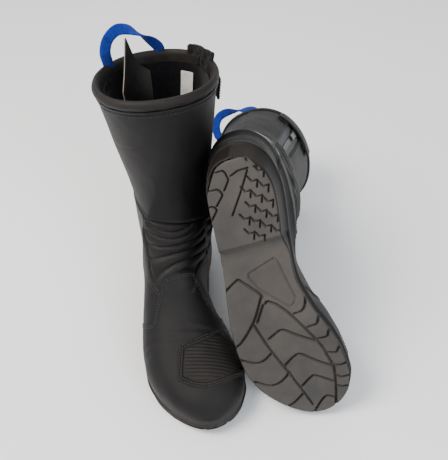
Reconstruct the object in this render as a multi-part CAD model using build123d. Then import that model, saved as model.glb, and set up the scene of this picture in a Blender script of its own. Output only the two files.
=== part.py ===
"""A pair of touring motorcycle boots: one standing, one tipped forward on its toe and the top of its leg.

Each boot is modelled once, as a right boot in its own frame: heel centre line at x = 0, toe towards -Y,
medial side +X, standing on z = 0.  The left boot is its mirror image.  Millimetres throughout.
"""

import math
import os

import numpy as np
from build123d import *

# ---------------------------------------------------------------- driving dimensions
SOLE_LENGTH = 305.0          # heel back to toe tip of the outsole
HEEL_BACK = 75.0             # y of the heel's back; the ankle is over y = 0
LEG_FRONT_HEIGHT = 322.0     # top of the leg at the shin
LEG_BACK_HEIGHT = 297.0      # top of the leg at the calf
LEATHER = 2.2                # thickness of the outer leather
STIFFENER = 2.0              # toe cap, heel counter and guards, between leather and lining
LINING = 2.0                 # waterproof lining with its foam
LAYER_GAP = 0.3              # play between one layer and the next
PAIR_YAW = 5.1               # the standing boot's turn about +Z, degrees
PAIR_X, PAIR_Y = 0.0, 0.0    # where its ankle stands

# The tipped boot, as turns about X, Y and Z and then a place, after facing away by half a turn.
TIP_PITCH, TIP_ROLL, TIP_YAW = -117.65, -15.2, 0.0
TIP_PLACE = (84.5, -119.5, 209.75)

# Plan of the sole: distance from the heel's back, lateral edge, medial edge.
SOLE_PLAN = [
    (0, -3, 3), (4, -15, 15), (13, -25.5, 25), (30, -34.5, 33.5), (50, -38, 36), (78, -41, 33),
    (105, -44, 28.5), (143, -50, 25), (177, -56, 32), (208, -58.5, 43.5), (232, -57, 49),
    (257, -49, 50.5), (280, -34, 44), (294, -19, 33), (302, -6, 20), (305, 3, 10),
]
# Height of the upper's top line over the foot: distance from the heel's back, height.
INSTEP = [
    (305, 23), (303.5, 31), (299, 40), (291, 48), (278, 54.5), (255, 61), (230, 67.5), (205, 78),
    (185, 91), (168, 107), (155, 123), (145, 140), (138, 158), (132, 180),
]
# Leg and heel, by height: front y, back y, half width.
LEG = [
    (20, -66, 72, 36), (45, -66, 76, 37), (65, -66, 74.5, 37), (90, -66, 68, 38), (115, -66, 64, 41),
    (140, -66, 63.5, 42.5), (165, -59.5, 65, 43.5), (190, -57, 67, 46.7), (250, -64, 70.5, 54.5),
    (300, -70, 73, 61), (330, -73.5, 74.5, 64.9),
]
WIDEST = 30.0                # height at which the foot is widest
HEEL_ROUND = 40.0            # the heel's rounding begins this far from its back
BLEND = 14.0                 # how softly the leg runs into the foot
TOE_FRONT = -228.5           # y of the foremost section of the upper
VAMP_SEAM = -84.0            # y where the vamp meets the quarters

# Sole: thicknesses, and the underside's profile as distance from the heel's back and height.
TREAD = 6.0
HEEL_BEVEL = (13.0, 25.0)     # how far the heel's back is cut away at the ground, and how high the cut runs
GROOVE_DEPTH, GROOVE_WIDTH = 3.0, 2.2
UNDERSIDE = [
    (-10, 0), (97, 0), (101, 6.5), (120, 5.5), (145, 2.2), (168, 0), (215, 0), (235, 0.6),
    (255, 2.4), (272, 4.8), (288, 7.9), (300, 10.7), (312, 13.9),
]
SOLE_TOP_SHARE = [-10, 30, 70, 100, 115, 130, 145, 160, 180, 215, 235, 255, 275, 295, 312]
SHANK_MIDDLE, SHANK_LENGTH, SHANK_WIDTH, SHANK_THICK = 118.0, 95.0, 14.0, 1.5
BOARD, FOOTBED = 2.4, 4.0

# Where the upper is cut: planes across the boot, as (height over the ankle, rise per mm backwards).
FOOT_TOP = (102.0, -0.026)
LEG_FOOT = (145.0, -0.252)
RIM_LEAN = (LEG_FRONT_HEIGHT - LEG_BACK_HEIGHT) / 146.0
RIM_MIDDLE = (LEG_FRONT_HEIGHT + LEG_BACK_HEIGHT) / 2
COLLAR_DEEP = 14.0           # height of the rolled collar

# Closure on the medial side: a zip in a slot, with a hook-and-loop tab over its top.
ANKLE_GAP = 2.0              # between the ankle's soft zone and what it joins
GUSSET_FRONT, GUSSET_BACK = -34.0, 46.0
SIDE_SEAM = 34.0             # y of the lateral seam between shin and calf leather
ZIP_Y = 30.0
SLOT_HALF, TAPE_HALF = 12.0, 17.0
TEETH_LOW, TEETH_HIGH, TOOTH_PITCH = 168.0, 278.0, 4.4
TOOTH = (1.4, 6.0, 3.2)      # out of the tape, across the zip, along the zip
SLIDER = (2.6, 10.0, 12.0)
SLIDER_CLEAR, CHANNEL_DEEP = 0.3, 1.7
SLIDER_REST = 261.0
PULL_OUT, PULL_DROP = 3.2, 7.6       # the puller's pin, from the tape and down from the slider's middle
PULL_PLATE = (1.2, 7.4, 26.0)
TAPE_LIFT = 0.6              # lets the straight teeth clear the tape's slight curve
TAB_FRONT, TAB_BACK = -8.0, 56.0
PATCH_FRONT, PATCH_BACK = 44.0, 54.0

# Webbing loop at the back of the rim, standing on a chord of the collar.
LOOP_ENDS = ((-53.0, 40.0), (13.0, 72.0))
LOOP_WEB, LOOP_THICK, LOOP_HEIGHT, LOOP_LIFT = 13.0, 1.6, 41.0, 1.0
LOOP_LEAN = {"right": 0.0, "left": 55.0}      # how far it has flopped backwards, degrees

# Leg shaper: its outline as (across, height), and where it stands.
SHAPER = [(-13, 96), (13, 96), (22, 200), (24, 292), (2, 312), (-8, 344), (-24, 292), (-20, 200)]
SHAPER_PLACE, SHAPER_TURN = (-19.0, 18.0), 52.0


def smooth_table(rows):
    """A function that runs smoothly and without overshoot through rows of (position, value, ...)."""
    data = np.array(sorted(rows), float)
    x, y = data[:, 0], data[:, 1:]
    step = np.diff(x)[:, None]
    slope = np.diff(y, axis=0) / step
    inner = np.where(slope[1:] * slope[:-1] > 0,
                     2 * slope[1:] * slope[:-1] / (slope[1:] + slope[:-1] + 1e-12), 0.0)
    m = np.vstack([slope[:1], inner, slope[-1:]])

    def value(at):
        at = np.clip(np.asarray(at, float), x[0], x[-1])
        i = np.clip(np.searchsorted(x, at, side="right") - 1, 0, len(x) - 2)
        h = x[i + 1] - x[i]
        t = ((at - x[i]) / h)[..., None]
        h = h[..., None]
        return ((2 * t**3 - 3 * t**2 + 1) * y[i] + (t**3 - 2 * t**2 + t) * h * m[i]
                + (-2 * t**3 + 3 * t**2) * y[i + 1] + (t**3 - t**2) * h * m[i + 1])

    return value


plan_at, instep_at, leg_at = smooth_table(SOLE_PLAN), smooth_table(INSTEP), smooth_table(LEG)


def sole_top(s):
    """Height of the sole's upper surface: a raised heel, a low forefoot and a lifted toe."""
    return 13.0 + 15.0 / (1 + np.exp((s - 140) / 17)) + 9.0 * np.clip((s - 215) / 90, 0, 1) ** 2


def outside(p):
    """Rough signed distance of points from the upper's outer surface, in millimetres; positive outside."""
    x, y, z = p[..., 0], p[..., 1], p[..., 2]
    leg = leg_at(z)
    front, back, half = leg[..., 0], leg[..., 1], leg[..., 2]
    s = HEEL_BACK - y
    plan = plan_at(np.clip(s, HEEL_ROUND, SOLE_LENGTH))
    centre, width = (plan[..., 0] + plan[..., 1]) / 2, (plan[..., 1] - plan[..., 0]) / 2 - 1.5
    top = instep_at(np.clip(s, 0, SOLE_LENGTH))[..., 0]
    rise = np.clip(z - WIDEST, 0, None) / np.maximum(top - WIDEST, 3.0)
    tuck = np.clip(WIDEST - z, 0, None) / 60.0
    heel = np.clip(HEEL_ROUND - s, 0, None) / (HEEL_ROUND - HEEL_BACK + back)
    foot = (np.abs(x - centre) / width) ** 2.4 + rise ** 2.3 + tuck ** 2 + heel ** 2.2
    d_foot = (foot ** (1 / 2.4) - 1) * np.minimum(width, 40) + np.clip(s - SOLE_LENGTH + 2, 0, None)
    y_mid, y_half = (front + back) / 2, (back - front) / 2
    ring = (np.abs(x) / half) ** 2.15 + (np.abs(y - y_mid) / y_half) ** 2.15
    d_leg = (ring ** (1 / 2.15) - 1) * half + np.clip(60 - z, 0, None)
    mix = np.clip(0.5 + 0.5 * (d_leg - d_foot) / BLEND, 0, 1)
    return d_leg * (1 - mix) + d_foot * mix - BLEND * mix * (1 - mix)


def reach(origin, direction):
    """Where rays from inside the boot meet its outer surface."""
    near, far = np.zeros(len(origin)), np.full(len(origin), 190.0)
    for _ in range(40):
        middle = (near + far) / 2
        inside = outside(origin + direction * middle[:, None]) < 0
        near, far = np.where(inside, middle, near), np.where(inside, far, middle)
    return origin + direction * near[:, None]


def moved_in(row, at, normal, inset):
    """Points of a row of the surface at these positions, moved inwards in the row's own plane."""
    step = 0.01 * (at[-1] - at[0]) / abs(at[-1] - at[0])
    along = row(at + step) - row(at - step)
    across = np.cross(normal, along)
    across /= np.linalg.norm(across, axis=1)[:, None]
    return row(at) + across * inset


def round_leg(angles, plane, inset):
    """Points round the leg in a slanting plane; 90 degrees is the shin, 0 the medial side, 270 the calf."""
    height, slope = plane

    def row(turn):
        flat = np.zeros_like(turn)
        direction = np.stack([np.cos(turn), -np.sin(turn), -slope * np.sin(turn)], -1)
        return reach(np.stack([flat, flat, flat + height], -1), direction)

    return moved_in(row, np.radians(angles), np.array([0, slope, -1.0]), inset)


def round_heel(shares, plane, inset):
    """Points round the rear foot: -1 is the vamp seam's lateral end, 0 the heel's back, 1 the medial end."""
    height, slope = plane
    pivot = 20.0

    def row(share):
        y = pivot - (pivot - VAMP_SEAM) * np.clip(np.abs(share) - 0.5, 0, None) / 0.5
        turn = np.pi * np.clip(share, -0.5, 0.5)
        direction = np.stack([np.sin(turn), np.cos(turn), slope * np.cos(turn)], -1)
        origin = np.stack([-8 * np.clip((pivot - y) / 60, 0, 1), y, height + slope * y], -1)
        return reach(origin, direction)

    return moved_in(row, np.asarray(shares, float), np.array([0, slope, -1.0]), inset)


def over_foot(angles, y, inset):
    """Points over the forefoot in a plane across it; 0 is the medial side, 90 the top."""
    s = HEEL_BACK - y
    middle = float(plan_at(s).mean())

    def row(turn):
        flat = np.zeros_like(turn)
        direction = np.stack([np.cos(turn), flat, np.sin(turn)], -1)
        return reach(np.stack([flat + middle, flat + y, flat + float(sole_top(s)) + 1.0], -1), direction)

    return moved_in(row, np.radians(angles), np.array([0, -1.0, 0]), inset)


def vectors(points):
    return [Vector(*map(float, point)) for point in points]


def band(outer, inner):
    """A closed section from its outer and its inner row of points."""
    outside_edge = Spline(*vectors(outer))
    inside_edge = Spline(*vectors(inner[::-1]))
    ends = [Line(outside_edge @ 1, inside_edge @ 0), Line(inside_edge @ 1, outside_edge @ 0)]
    return Wire([outside_edge, ends[0], inside_edge, ends[1]])


def leg_wall(planes, span, outer, inner, count=25):
    """A wall round the leg through slanting planes; span gives a plane's first and last angle.

    outer and inner are insets, or one inset for each plane.
    """
    outer = outer if isinstance(outer, list) else [outer] * len(planes)
    inner = inner if isinstance(inner, list) else [inner] * len(planes)
    wires = []
    for plane, out, deep in zip(planes, outer, inner):
        angles = np.linspace(*span(plane), count)
        wires.append(band(round_leg(angles, plane, out), round_leg(angles, plane, deep)))
    return Solid.make_loft(wires)


def heel_wall(planes, span, outer, inner, count=17):
    """A wall round the rear foot through slanting planes, between two shares of the way round."""
    shares = np.linspace(*span, count)
    wires = [band(round_heel(shares, plane, outer), round_heel(shares, plane, inner)) for plane in planes]
    return Solid.make_loft(wires)


def toe_wall(stations, span, outer, inner, count=21):
    """A wall over the forefoot through planes across it, between two angles."""
    angles = np.linspace(*span, count)
    wires = [band(over_foot(angles, y, outer), over_foot(angles, y, inner)) for y in stations]
    return Solid.make_loft(wires)


def leg_planes(first, last, count):
    """Planes across the leg, from its foot at share 0 to under the collar at share 1."""
    low, high = LEG_FOOT, rim(COLLAR_DEEP)
    shares = [first + (last - first) * k / (count - 1) for k in range(count)]
    return [tuple(a + (b - a) * share for a, b in zip(low, high)) for share in shares]


def planes_between(first, last, count):
    """Planes that turn evenly from one slanting plane to another."""
    return [tuple(a + (b - a) * k / (count - 1) for a, b in zip(first, last)) for k in range(count)]


def rim(drop):
    """The rim's slanting plane, moved down."""
    return (RIM_MIDDLE - drop, -RIM_LEAN)


def angle_at(plane, y, medial=True):
    """The angle round the leg at which its surface has this y."""
    angles = np.linspace(-90, 90, 361) if medial else np.linspace(270, 90, 361)
    found = round_leg(angles, plane, 0.0)[:, 1]
    return float(np.interp(-y, -found, angles))


def medial_span(front, back):
    """A span on the leg's medial side from y = back round to y = front."""
    return lambda plane: (angle_at(plane, back), angle_at(plane, front))


def whole_span(plane):
    """All the way round, but for a seam at the back."""
    return -89.8, 269.8


def side_prism(points, low_x=-90.0, high_x=90.0):
    """A closed outline of (y, z) points in side view, drawn out along X."""
    face = make_face(Polyline(*[(low_x, y, z) for y, z in points], close=True))
    return extrude(face, amount=high_x - low_x, dir=(1, 0, 0))


def block(x, y, z):
    """A box from ranges of x, y and z."""
    middle = [(low + high) / 2 for low, high in (x, y, z)]
    return Pos(*middle) * Box(x[1] - x[0], y[1] - y[0], z[1] - z[0])


def one_solid(shape):
    """The largest solid of a cut shape, without the crumbs that a cut can leave."""
    return max(shape.solids(), key=lambda solid: solid.volume)


def sole_band(low, high):
    """Everything between two profiles of (distance from the heel's back, height)."""
    loop = [(HEEL_BACK - s, z) for s, z in low] + [(HEEL_BACK - s, z) for s, z in reversed(high)]
    return side_prism(loop)


def raised(profile, by):
    return [(s, z + by) for s, z in profile]


SOLE_TOP = [(s, float(sole_top(s))) for s in SOLE_TOP_SHARE]
DEEP_BELOW = [(-10, -60), (312, -60)]


def sole_part(inset, low, high):
    """A slice of the sole between two profiles, its outline moved inwards by inset."""
    lateral = [(x, HEEL_BACK - s) for s, x, _ in SOLE_PLAN]
    medial = [(x, HEEL_BACK - s) for s, _, x in SOLE_PLAN]
    loop = np.array(lateral + medial[::-1])
    along = np.roll(loop, -1, axis=0) - np.roll(loop, 1, axis=0)
    inwards = np.stack([-along[:, 1], along[:, 0]], -1) / np.linalg.norm(along, axis=1)[:, None]
    outline = make_face(Spline(*[(float(x), float(y)) for x, y in loop + inwards * inset], periodic=True))
    column = extrude(outline, amount=60, both=True)
    return one_solid(column & sole_band(low, high))


def over_sole(shape, by=0.0):
    """The shape without what lies under the sole's top surface, raised by this much."""
    return one_solid(shape - sole_band(DEEP_BELOW, raised(SOLE_TOP, by)))


def under_ankle(shape):
    """The shape without what lies over the foot's slanting top plane."""
    height, slope = FOOT_TOP
    ends = [(y, height + slope * y) for y in (-200.0, 90.0)]
    return one_solid(shape - side_prism([*ends, (90.0, 200.0), (-200.0, 200.0)]))


# ---------------------------------------------------------------- sole
GROOVES = [
    # lateral pad, the long diagonals and the medial rail of the forefoot
    [(142, -52), (133, -34), (153, -15), (180, -31), (201, -58)],
    [(163, -14), (168, -7), (218, 27), (250, 35), (273, 31), (302, 22)],
    [(164, -16), (184, -31), (211, -24), (243, -13), (269, -5), (296, 2)],
    # waves between the diagonals
    [(202, -27), (196, -6), (204, 7), (217, 26)],
    [(237, -15), (227, 2), (238, 19), (250, 34)],
    [(266, -5), (256, 11), (268, 30)],
    [(303, 0), (287, 15), (289, 26)],
    # waves of the lateral edge
    [(216, -59), (225, -40), (219, -23)],
    [(247, -50), (256, -32), (245, -13)],
    [(288, -29), (285, -17), (276, -5)],
    # hooks of the medial edge
    [(161, 30), (175, 24), (181, 12)],
    [(180, 39), (195, 33), (199, 21)],
    [(199, 47), (211, 39), (214, 28)],
    [(221, 50), (232, 43), (232, 33)],
    [(246, 52), (250, 42), (248, 35)],
    [(264, 49), (264, 34)],
    [(277, 46), (275, 33)],
    # heel: the lateral channel, its three rows, the long diagonal and the stepped rows
    [(-2, -7), (17, -21), (32, -31), (51, -43)],
    [(18, -30), (20, -16), (30, -10), (39, -17)],
    [(36, -40), (37, -24), (44, -20), (54, -30)],
    [(52, -43), (54, -31), (73, -45)],
    [(-1, 11), (17, 12), (26, 9), (65, -17)],
    [(15, 24), (34, 20), (34, 31), (52, 27), (52, 37)],
    [(30, 9), (48, 16), (48, 24), (66, 21), (66, 33), (84, 29)],
    [(46, 0), (62, 6), (62, 14), (80, 12), (80, 22), (98, 20)],
    [(64, -12), (83, -8), (83, 3), (95, 1)],
]


def make_sole():
    run, height = HEEL_BEVEL
    corner = [(HEEL_BACK - 1.5 * run, -0.5 * height), (HEEL_BACK + 0.5 * run, 1.5 * height), (140.0, -30.0)]
    bevel = side_prism(corner)
    tread = sole_part(0.0, UNDERSIDE, raised(UNDERSIDE, TREAD)) - bevel
    skin = sole_band(raised(UNDERSIDE, -1.0), raised(UNDERSIDE, GROOVE_DEPTH))
    for points in GROOVES:
        path = Polyline(*[(x, HEEL_BACK - s) for s, x in points])
        cutter = extrude(trace(path, line_width=GROOVE_WIDTH), amount=30, both=True)
        tread = tread - (cutter & skin)

    def shank_strip(grow, low, high):
        middle_y = HEEL_BACK - SHANK_MIDDLE
        half_x, half_y = SHANK_WIDTH / 2 + grow, SHANK_LENGTH / 2 + grow
        column = block((-6 - half_x, -6 + half_x), (middle_y - half_y, middle_y + half_y), (-20, 60))
        return one_solid(column & sole_band(raised(SOLE_TOP, low), raised(SOLE_TOP, high)))

    shank = shank_strip(0.0, -SHANK_THICK - 0.1, -0.1)
    pocket = shank_strip(0.3, -SHANK_THICK - 0.1, 1.0)
    return {
        "outsole": one_solid(tread),
        "midsole": one_solid(sole_part(1.0, raised(UNDERSIDE, TREAD), SOLE_TOP) - pocket - bevel),
        "shank": shank,
        "insole_board": sole_part(8.6, SOLE_TOP, raised(SOLE_TOP, BOARD)),
        "footbed": sole_part(10.4, raised(SOLE_TOP, BOARD), raised(SOLE_TOP, BOARD + FOOTBED)),
    }


# ---------------------------------------------------------------- foot
def make_foot():
    rear = planes_between((17.0, 0.06), FOOT_TOP, 7)
    sides, grain = (-14, 194), 25
    toe = [-226, -221, -212, -198, -180, -161, -142, -122, -102, VAMP_SEAM]
    stiff = LEATHER + LAYER_GAP, LEATHER + LAYER_GAP + STIFFENER
    counter = LEATHER + 1.2, LEATHER + 2.4
    lined = LEATHER + 3.4, LEATHER + 4.8

    angles = np.linspace(*sides, grain)
    tip_row = over_foot(angles, TOE_FRONT, 0.0)
    hub = np.array([tip_row[:, 0].mean(), TOE_FRONT, float(sole_top(HEEL_BACK - TOE_FRONT))])
    wires = [band(tip_row, hub + (tip_row - hub) * 0.3)]
    wires += [band(over_foot(angles, y, 0.0), over_foot(angles, y, LEATHER)) for y in toe[1:]]
    toe_lining = toe_wall(toe[2:], sides, *lined, grain)
    heel_lining = heel_wall(rear, (-1, 1), *lined, count=25)
    linings = [over_sole(under_ankle(toe_lining), BOARD + 0.2), over_sole(heel_lining, BOARD + 0.2)]
    return {
        "vamp": under_ankle(over_sole(Solid.make_loft(wires))),
        "medial_quarter": over_sole(heel_wall(rear, (0, 1), 0.0, LEATHER)),
        "lateral_quarter": over_sole(heel_wall(rear, (-1, 0), 0.0, LEATHER)),
        "toe_cap": over_sole(toe_wall(toe[2:6], sides, *stiff, grain), 0.1),
        "heel_counter": over_sole(heel_wall(rear[:5], (-0.6, 0.6), *counter)),
        "foot_lining": Compound(children=linings),
        "shift_pad": toe_wall(toe[3:7], (42, 132), -2.0, -0.2, 19),
        "reflector": heel_wall(planes_between(rear[4], rear[5], 3), (-0.34, 0.34), -1.7, -0.7, 13),
    }


# ---------------------------------------------------------------- ankle
def make_ankle():
    low = (FOOT_TOP[0] + ANKLE_GAP, FOOT_TOP[1])
    high = (LEG_FOOT[0] - ANKLE_GAP, LEG_FOOT[1])
    planes = planes_between(low, high, 4)
    start = LEATHER + STIFFENER + 2 * LAYER_GAP

    def window(plane):
        return angle_at(plane, GUSSET_BACK), angle_at(plane, GUSSET_FRONT)

    def around(plane):
        return angle_at(plane, GUSSET_FRONT), 360 + angle_at(plane, GUSSET_BACK)

    return {
        "flex_panel": leg_wall(planes, around, 0.0, LEATHER, 37),
        "gusset": leg_wall(planes, window, 0.0, LEATHER, 11),
        "ankle_lining": leg_wall(planes, whole_span, start, start + LINING, 37),
    }


# ---------------------------------------------------------------- leg
def make_leg():
    planes = leg_planes(0.0, 1.0, 6)
    stiff = LEATHER + LAYER_GAP, LEATHER + LAYER_GAP + STIFFENER
    lined = stiff[1] + LAYER_GAP, stiff[1] + LAYER_GAP + LINING
    tape = stiff[0], stiff[0] + 1.2
    slot_front, slot_back = ZIP_Y - SLOT_HALF, ZIP_Y + SLOT_HALF

    def shin(plane):
        return angle_at(plane, slot_front), angle_at(plane, SIDE_SEAM, medial=False)

    def calf(plane):
        return angle_at(plane, SIDE_SEAM, medial=False), 360 + angle_at(plane, slot_back)

    def rolled(plane):
        return angle_at(plane, slot_front), 360 + angle_at(plane, slot_back)

    roll = [rim(COLLAR_DEEP * share) for share in (1.0, 0.82, 0.5, 0.18, 0.0)]
    teeth = []
    count = int((TEETH_HIGH - TEETH_LOW) / TOOTH_PITCH) + 1
    for k in range(count):
        teeth.append(on_zip(TEETH_LOW + k * TOOTH_PITCH, TOOTH[0] / 2) * Box(*TOOTH))
    tape_span = medial_span(ZIP_Y - TAPE_HALF, ZIP_Y + TAPE_HALF)
    return {
        "shin_panel": leg_wall(planes, shin, 0.0, LEATHER, 29),
        "calf_panel": leg_wall(planes, calf, 0.0, LEATHER),
        "collar": leg_wall(roll, rolled, [-1.2, -2.6, -3.2, -2.4, -0.4], [7.2, 7.2, 7.0, 6.0, 3.6], 41),
        "leg_lining": leg_wall(planes, whole_span, *lined, 33),
        "shin_guard": leg_wall(planes[2:5], lambda plane: (45, 135), LEATHER + 0.8, LEATHER + 2.0, 15),
        "zip_tape": leg_wall(planes[:-1] + leg_planes(0.99, 0.99, 2)[:1], tape_span, *tape, 9),
        "zip_teeth": Compound(children=teeth),
        "loop_patch": leg_wall(leg_planes(0.83, 0.96, 3), medial_span(PATCH_FRONT, PATCH_BACK), -1.3, -0.3, 7),
    }


# ---------------------------------------------------------------- closure
def leg_x(y, z):
    """x of the leg's medial surface."""
    return float(reach(np.array([[0.0, y, z]]), np.array([[1.0, 0.0, 0.0]]))[0, 0])


def on_zip(z, out=0.0):
    """A place on the zip at this height and this far out of its tape; its Z runs up along the teeth."""
    low, high = leg_x(ZIP_Y, TEETH_LOW), leg_x(ZIP_Y, TEETH_HIGH)
    rise = (high - low) / (TEETH_HIGH - TEETH_LOW)
    middle = (TEETH_LOW + TEETH_HIGH) / 2
    slant = (leg_x(ZIP_Y + 4, middle) - leg_x(ZIP_Y - 4, middle)) / 8
    upwards = Vector(rise, 0, 1).normalized()
    outwards = upwards.cross(Vector(slant, 1, 0)).normalized() * -1
    start = Vector(low + rise * (z - TEETH_LOW), ZIP_Y, z)
    depth = out + TAPE_LIFT - (LEATHER + LAYER_GAP)
    return Plane(origin=start + outwards * depth, x_dir=outwards, z_dir=upwards).location


def make_closure():
    channel = Pos(SLIDER_CLEAR + CHANNEL_DEEP - 5, 0, 0) * Box(10, TOOTH[1] + 0.8, SLIDER[2] + 2)
    body = Pos(SLIDER_CLEAR + SLIDER[0] / 2, 0, 0) * Box(*SLIDER) - channel
    roof = SLIDER_CLEAR + CHANNEL_DEEP
    lug = Pos((roof + PULL_OUT + 0.8) / 2, 0, -(SLIDER[2] / 2 + PULL_DROP) / 2 - 0.1) * Box(
        PULL_OUT + 0.8 - roof, 2.0, PULL_DROP - SLIDER[2] / 2 + 1.6)
    pivot = Pos(PULL_OUT, 0, -PULL_DROP)
    pin = pivot * Rot(X=90) * Cylinder(0.5, 5.0)
    plate = Pos(0, 0, 1.2 - PULL_PLATE[2] / 2) * Box(*PULL_PLATE)
    eye = Pos(0, 0, 0.2) * Box(4, 2.8, 3.6) + Rot(X=90) * Cylinder(0.56, 5.4)
    place = on_zip(SLIDER_REST)
    return {
        "closure_tab": leg_wall(leg_planes(0.82, 0.985, 4), medial_span(TAB_FRONT, TAB_BACK), -4.4, -2.4, 17),
        "hook_patch": leg_wall(
            leg_planes(0.84, 0.95, 3), medial_span(PATCH_FRONT + 1, PATCH_BACK - 1), -2.36, -1.4, 7),
        "zip_slider": one_solid(place * (body + lug + pin)),
        "zip_puller": one_solid(place * pivot * (plate - eye)),
    }


# ---------------------------------------------------------------- loop, and what lies loose in the leg
def make_loop(lean):
    ends = [Vector(x, y, RIM_MIDDLE - RIM_LEAN * y + LOOP_LIFT) for x, y in LOOP_ENDS]
    along = (ends[1] - ends[0]).normalized()
    level_way = along.cross(Vector(0, 0, 1)).normalized()
    rise_way = level_way.cross(along)
    facing = level_way * math.cos(math.radians(lean)) + rise_way * math.sin(math.radians(lean))
    level = Plane(origin=(ends[0] + ends[1]) * 0.5, x_dir=along, z_dir=facing)
    half = (ends[1] - ends[0]).length / 2
    arch = Ellipse(half, LOOP_HEIGHT) - Ellipse(half - LOOP_WEB, LOOP_HEIGHT - LOOP_WEB)
    upward = Pos(0, LOOP_HEIGHT) * Rectangle(4 * half, 2 * LOOP_HEIGHT)
    return {"pull_loop": one_solid(level * extrude(arch & upward, amount=LOOP_THICK / 2, both=True))}


def make_loose():
    """What only the standing boot shows: the sheet that keeps its leg in shape, and a sewn-in label."""
    face = make_face(Polyline(*[(w, 0, z) for w, z in SHAPER], close=True))
    sheet = Pos(*SHAPER_PLACE, 0) * Rot(Z=SHAPER_TURN) * extrude(face, amount=0.6, both=True, dir=(0, 1, 0))
    label = leg_wall(leg_planes(0.68, 0.93, 3), medial_span(45, 61), 7.1, 7.7, 7)
    return {"leg_shaper": one_solid(sheet), "care_label": label}


def make_boot():
    parts = {}
    for make in (make_sole, make_foot, make_ankle, make_leg, make_closure):
        parts.update(make())
    return parts


def stand(shape):
    """The standing boot's place."""
    return Pos(PAIR_X, PAIR_Y, 0) * Rot(Z=PAIR_YAW) * shape


def tip(shape):
    """The tipped boot's place, after it is mirrored and faces away."""
    turned = Rot(Z=TIP_YAW) * Rot(Y=TIP_ROLL) * Rot(X=TIP_PITCH) * Rot(Z=180) * mirror(shape, Plane.YZ)
    return Pos(*TIP_PLACE) * turned


def save(name, shape, place):
    solids = [place(solid) for solid in shape.solids()]
    whole = solids[0] if len(solids) == 1 else Compound(children=solids)
    export_step(whole, f"parts/{name}.step")


def main():
    os.makedirs("parts", exist_ok=True)
    for name, shape in make_boot().items():
        save(f"right_{name}", shape, stand)
        save(f"left_{name}", shape, tip)
    save("right_pull_loop", make_loop(LOOP_LEAN["right"])["pull_loop"], stand)
    save("left_pull_loop", make_loop(LOOP_LEAN["left"])["pull_loop"], tip)
    for name, shape in make_loose().items():
        save(f"right_{name}", shape, stand)


main()
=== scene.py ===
import math

import bpy
import numpy as np
from mathutils import Matrix, Vector


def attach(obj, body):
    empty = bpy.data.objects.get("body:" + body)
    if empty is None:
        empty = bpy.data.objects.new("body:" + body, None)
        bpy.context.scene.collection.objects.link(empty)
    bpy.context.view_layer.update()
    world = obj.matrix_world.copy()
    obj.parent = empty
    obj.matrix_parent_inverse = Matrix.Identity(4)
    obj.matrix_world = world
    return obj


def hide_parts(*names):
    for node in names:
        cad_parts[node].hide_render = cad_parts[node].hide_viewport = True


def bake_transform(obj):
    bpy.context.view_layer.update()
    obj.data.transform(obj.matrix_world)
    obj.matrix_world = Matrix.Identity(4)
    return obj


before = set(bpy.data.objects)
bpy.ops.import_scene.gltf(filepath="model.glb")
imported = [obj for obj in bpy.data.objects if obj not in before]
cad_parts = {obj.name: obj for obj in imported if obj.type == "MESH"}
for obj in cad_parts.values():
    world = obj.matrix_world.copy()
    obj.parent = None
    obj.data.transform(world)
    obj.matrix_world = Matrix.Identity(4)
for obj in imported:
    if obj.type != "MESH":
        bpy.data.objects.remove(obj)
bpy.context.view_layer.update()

# ---------------------------------------------------------------- driving dimensions, in millimetres
FINE = 1.0
HEEL_BACK, SOLE_LENGTH = 75.0, 305.0
WIDEST, HEEL_ROUND, BLEND = 30.0, 40.0, 14.0
VAMP_SEAM = -84.0
SOLE_PLAN = [
    (0, -3, 3), (4, -15, 15), (13, -25.5, 25), (30, -34.5, 33.5), (50, -38, 36), (78, -41, 33),
    (105, -44, 28.5), (143, -50, 25), (177, -56, 32), (208, -58.5, 43.5), (232, -57, 49),
    (257, -49, 50.5), (280, -34, 44), (294, -19, 33), (302, -6, 20), (305, 3, 10),
]
INSTEP = [
    (305, 23), (303.5, 31), (299, 40), (291, 48), (278, 54.5), (255, 61), (230, 67.5), (205, 78),
    (185, 91), (168, 107), (155, 123), (145, 140), (138, 158), (132, 180),
]
LEG = [
    (20, -66, 72, 36), (45, -66, 76, 37), (65, -66, 74.5, 37), (90, -66, 68, 38), (115, -66, 64, 41),
    (140, -66, 63.5, 42.5), (165, -59.5, 65, 43.5), (190, -57, 67, 46.7), (250, -64, 70.5, 54.5),
    (300, -70, 73, 61), (330, -73.5, 74.5, 64.9),
]
UNDERSIDE = [
    (-10, 0), (97, 0), (101, 6.5), (120, 5.5), (145, 2.2), (168, 0), (215, 0), (235, 0.6),
    (255, 2.4), (272, 4.8), (288, 7.9), (300, 10.7), (312, 13.9),
]
SOLE_LENGTH = 305.0   # heel back to toe tip of the outsole
TUCK = 6.0            # how far the leather goes down behind the sole's upper edge
SKIN_DROP = 10.0      # the leg's leather ends this far under the rim
PATCH_DROP = 10.5     # patches on the leg are placed against a plane this far under the rim
LEG_FOOT = (145.0, -0.252)
RIM_LEAN, RIM_MIDDLE = 25.0 / 146.0, 309.5
ZIP_Y, SLOT_HALF, SIDE_SEAM = 30.0, 12.0, 34.0
LOOP_ENDS = ((-53.0, 40.0), (13.0, 72.0))
LOOP_LEAN = {"right": 0.0, "left": 55.0}
PAIR_YAW = 5.1
TIP_PITCH, TIP_ROLL = -117.65, -15.2
TIP_PLACE = np.array([84.5, -119.5, 209.75])


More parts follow.
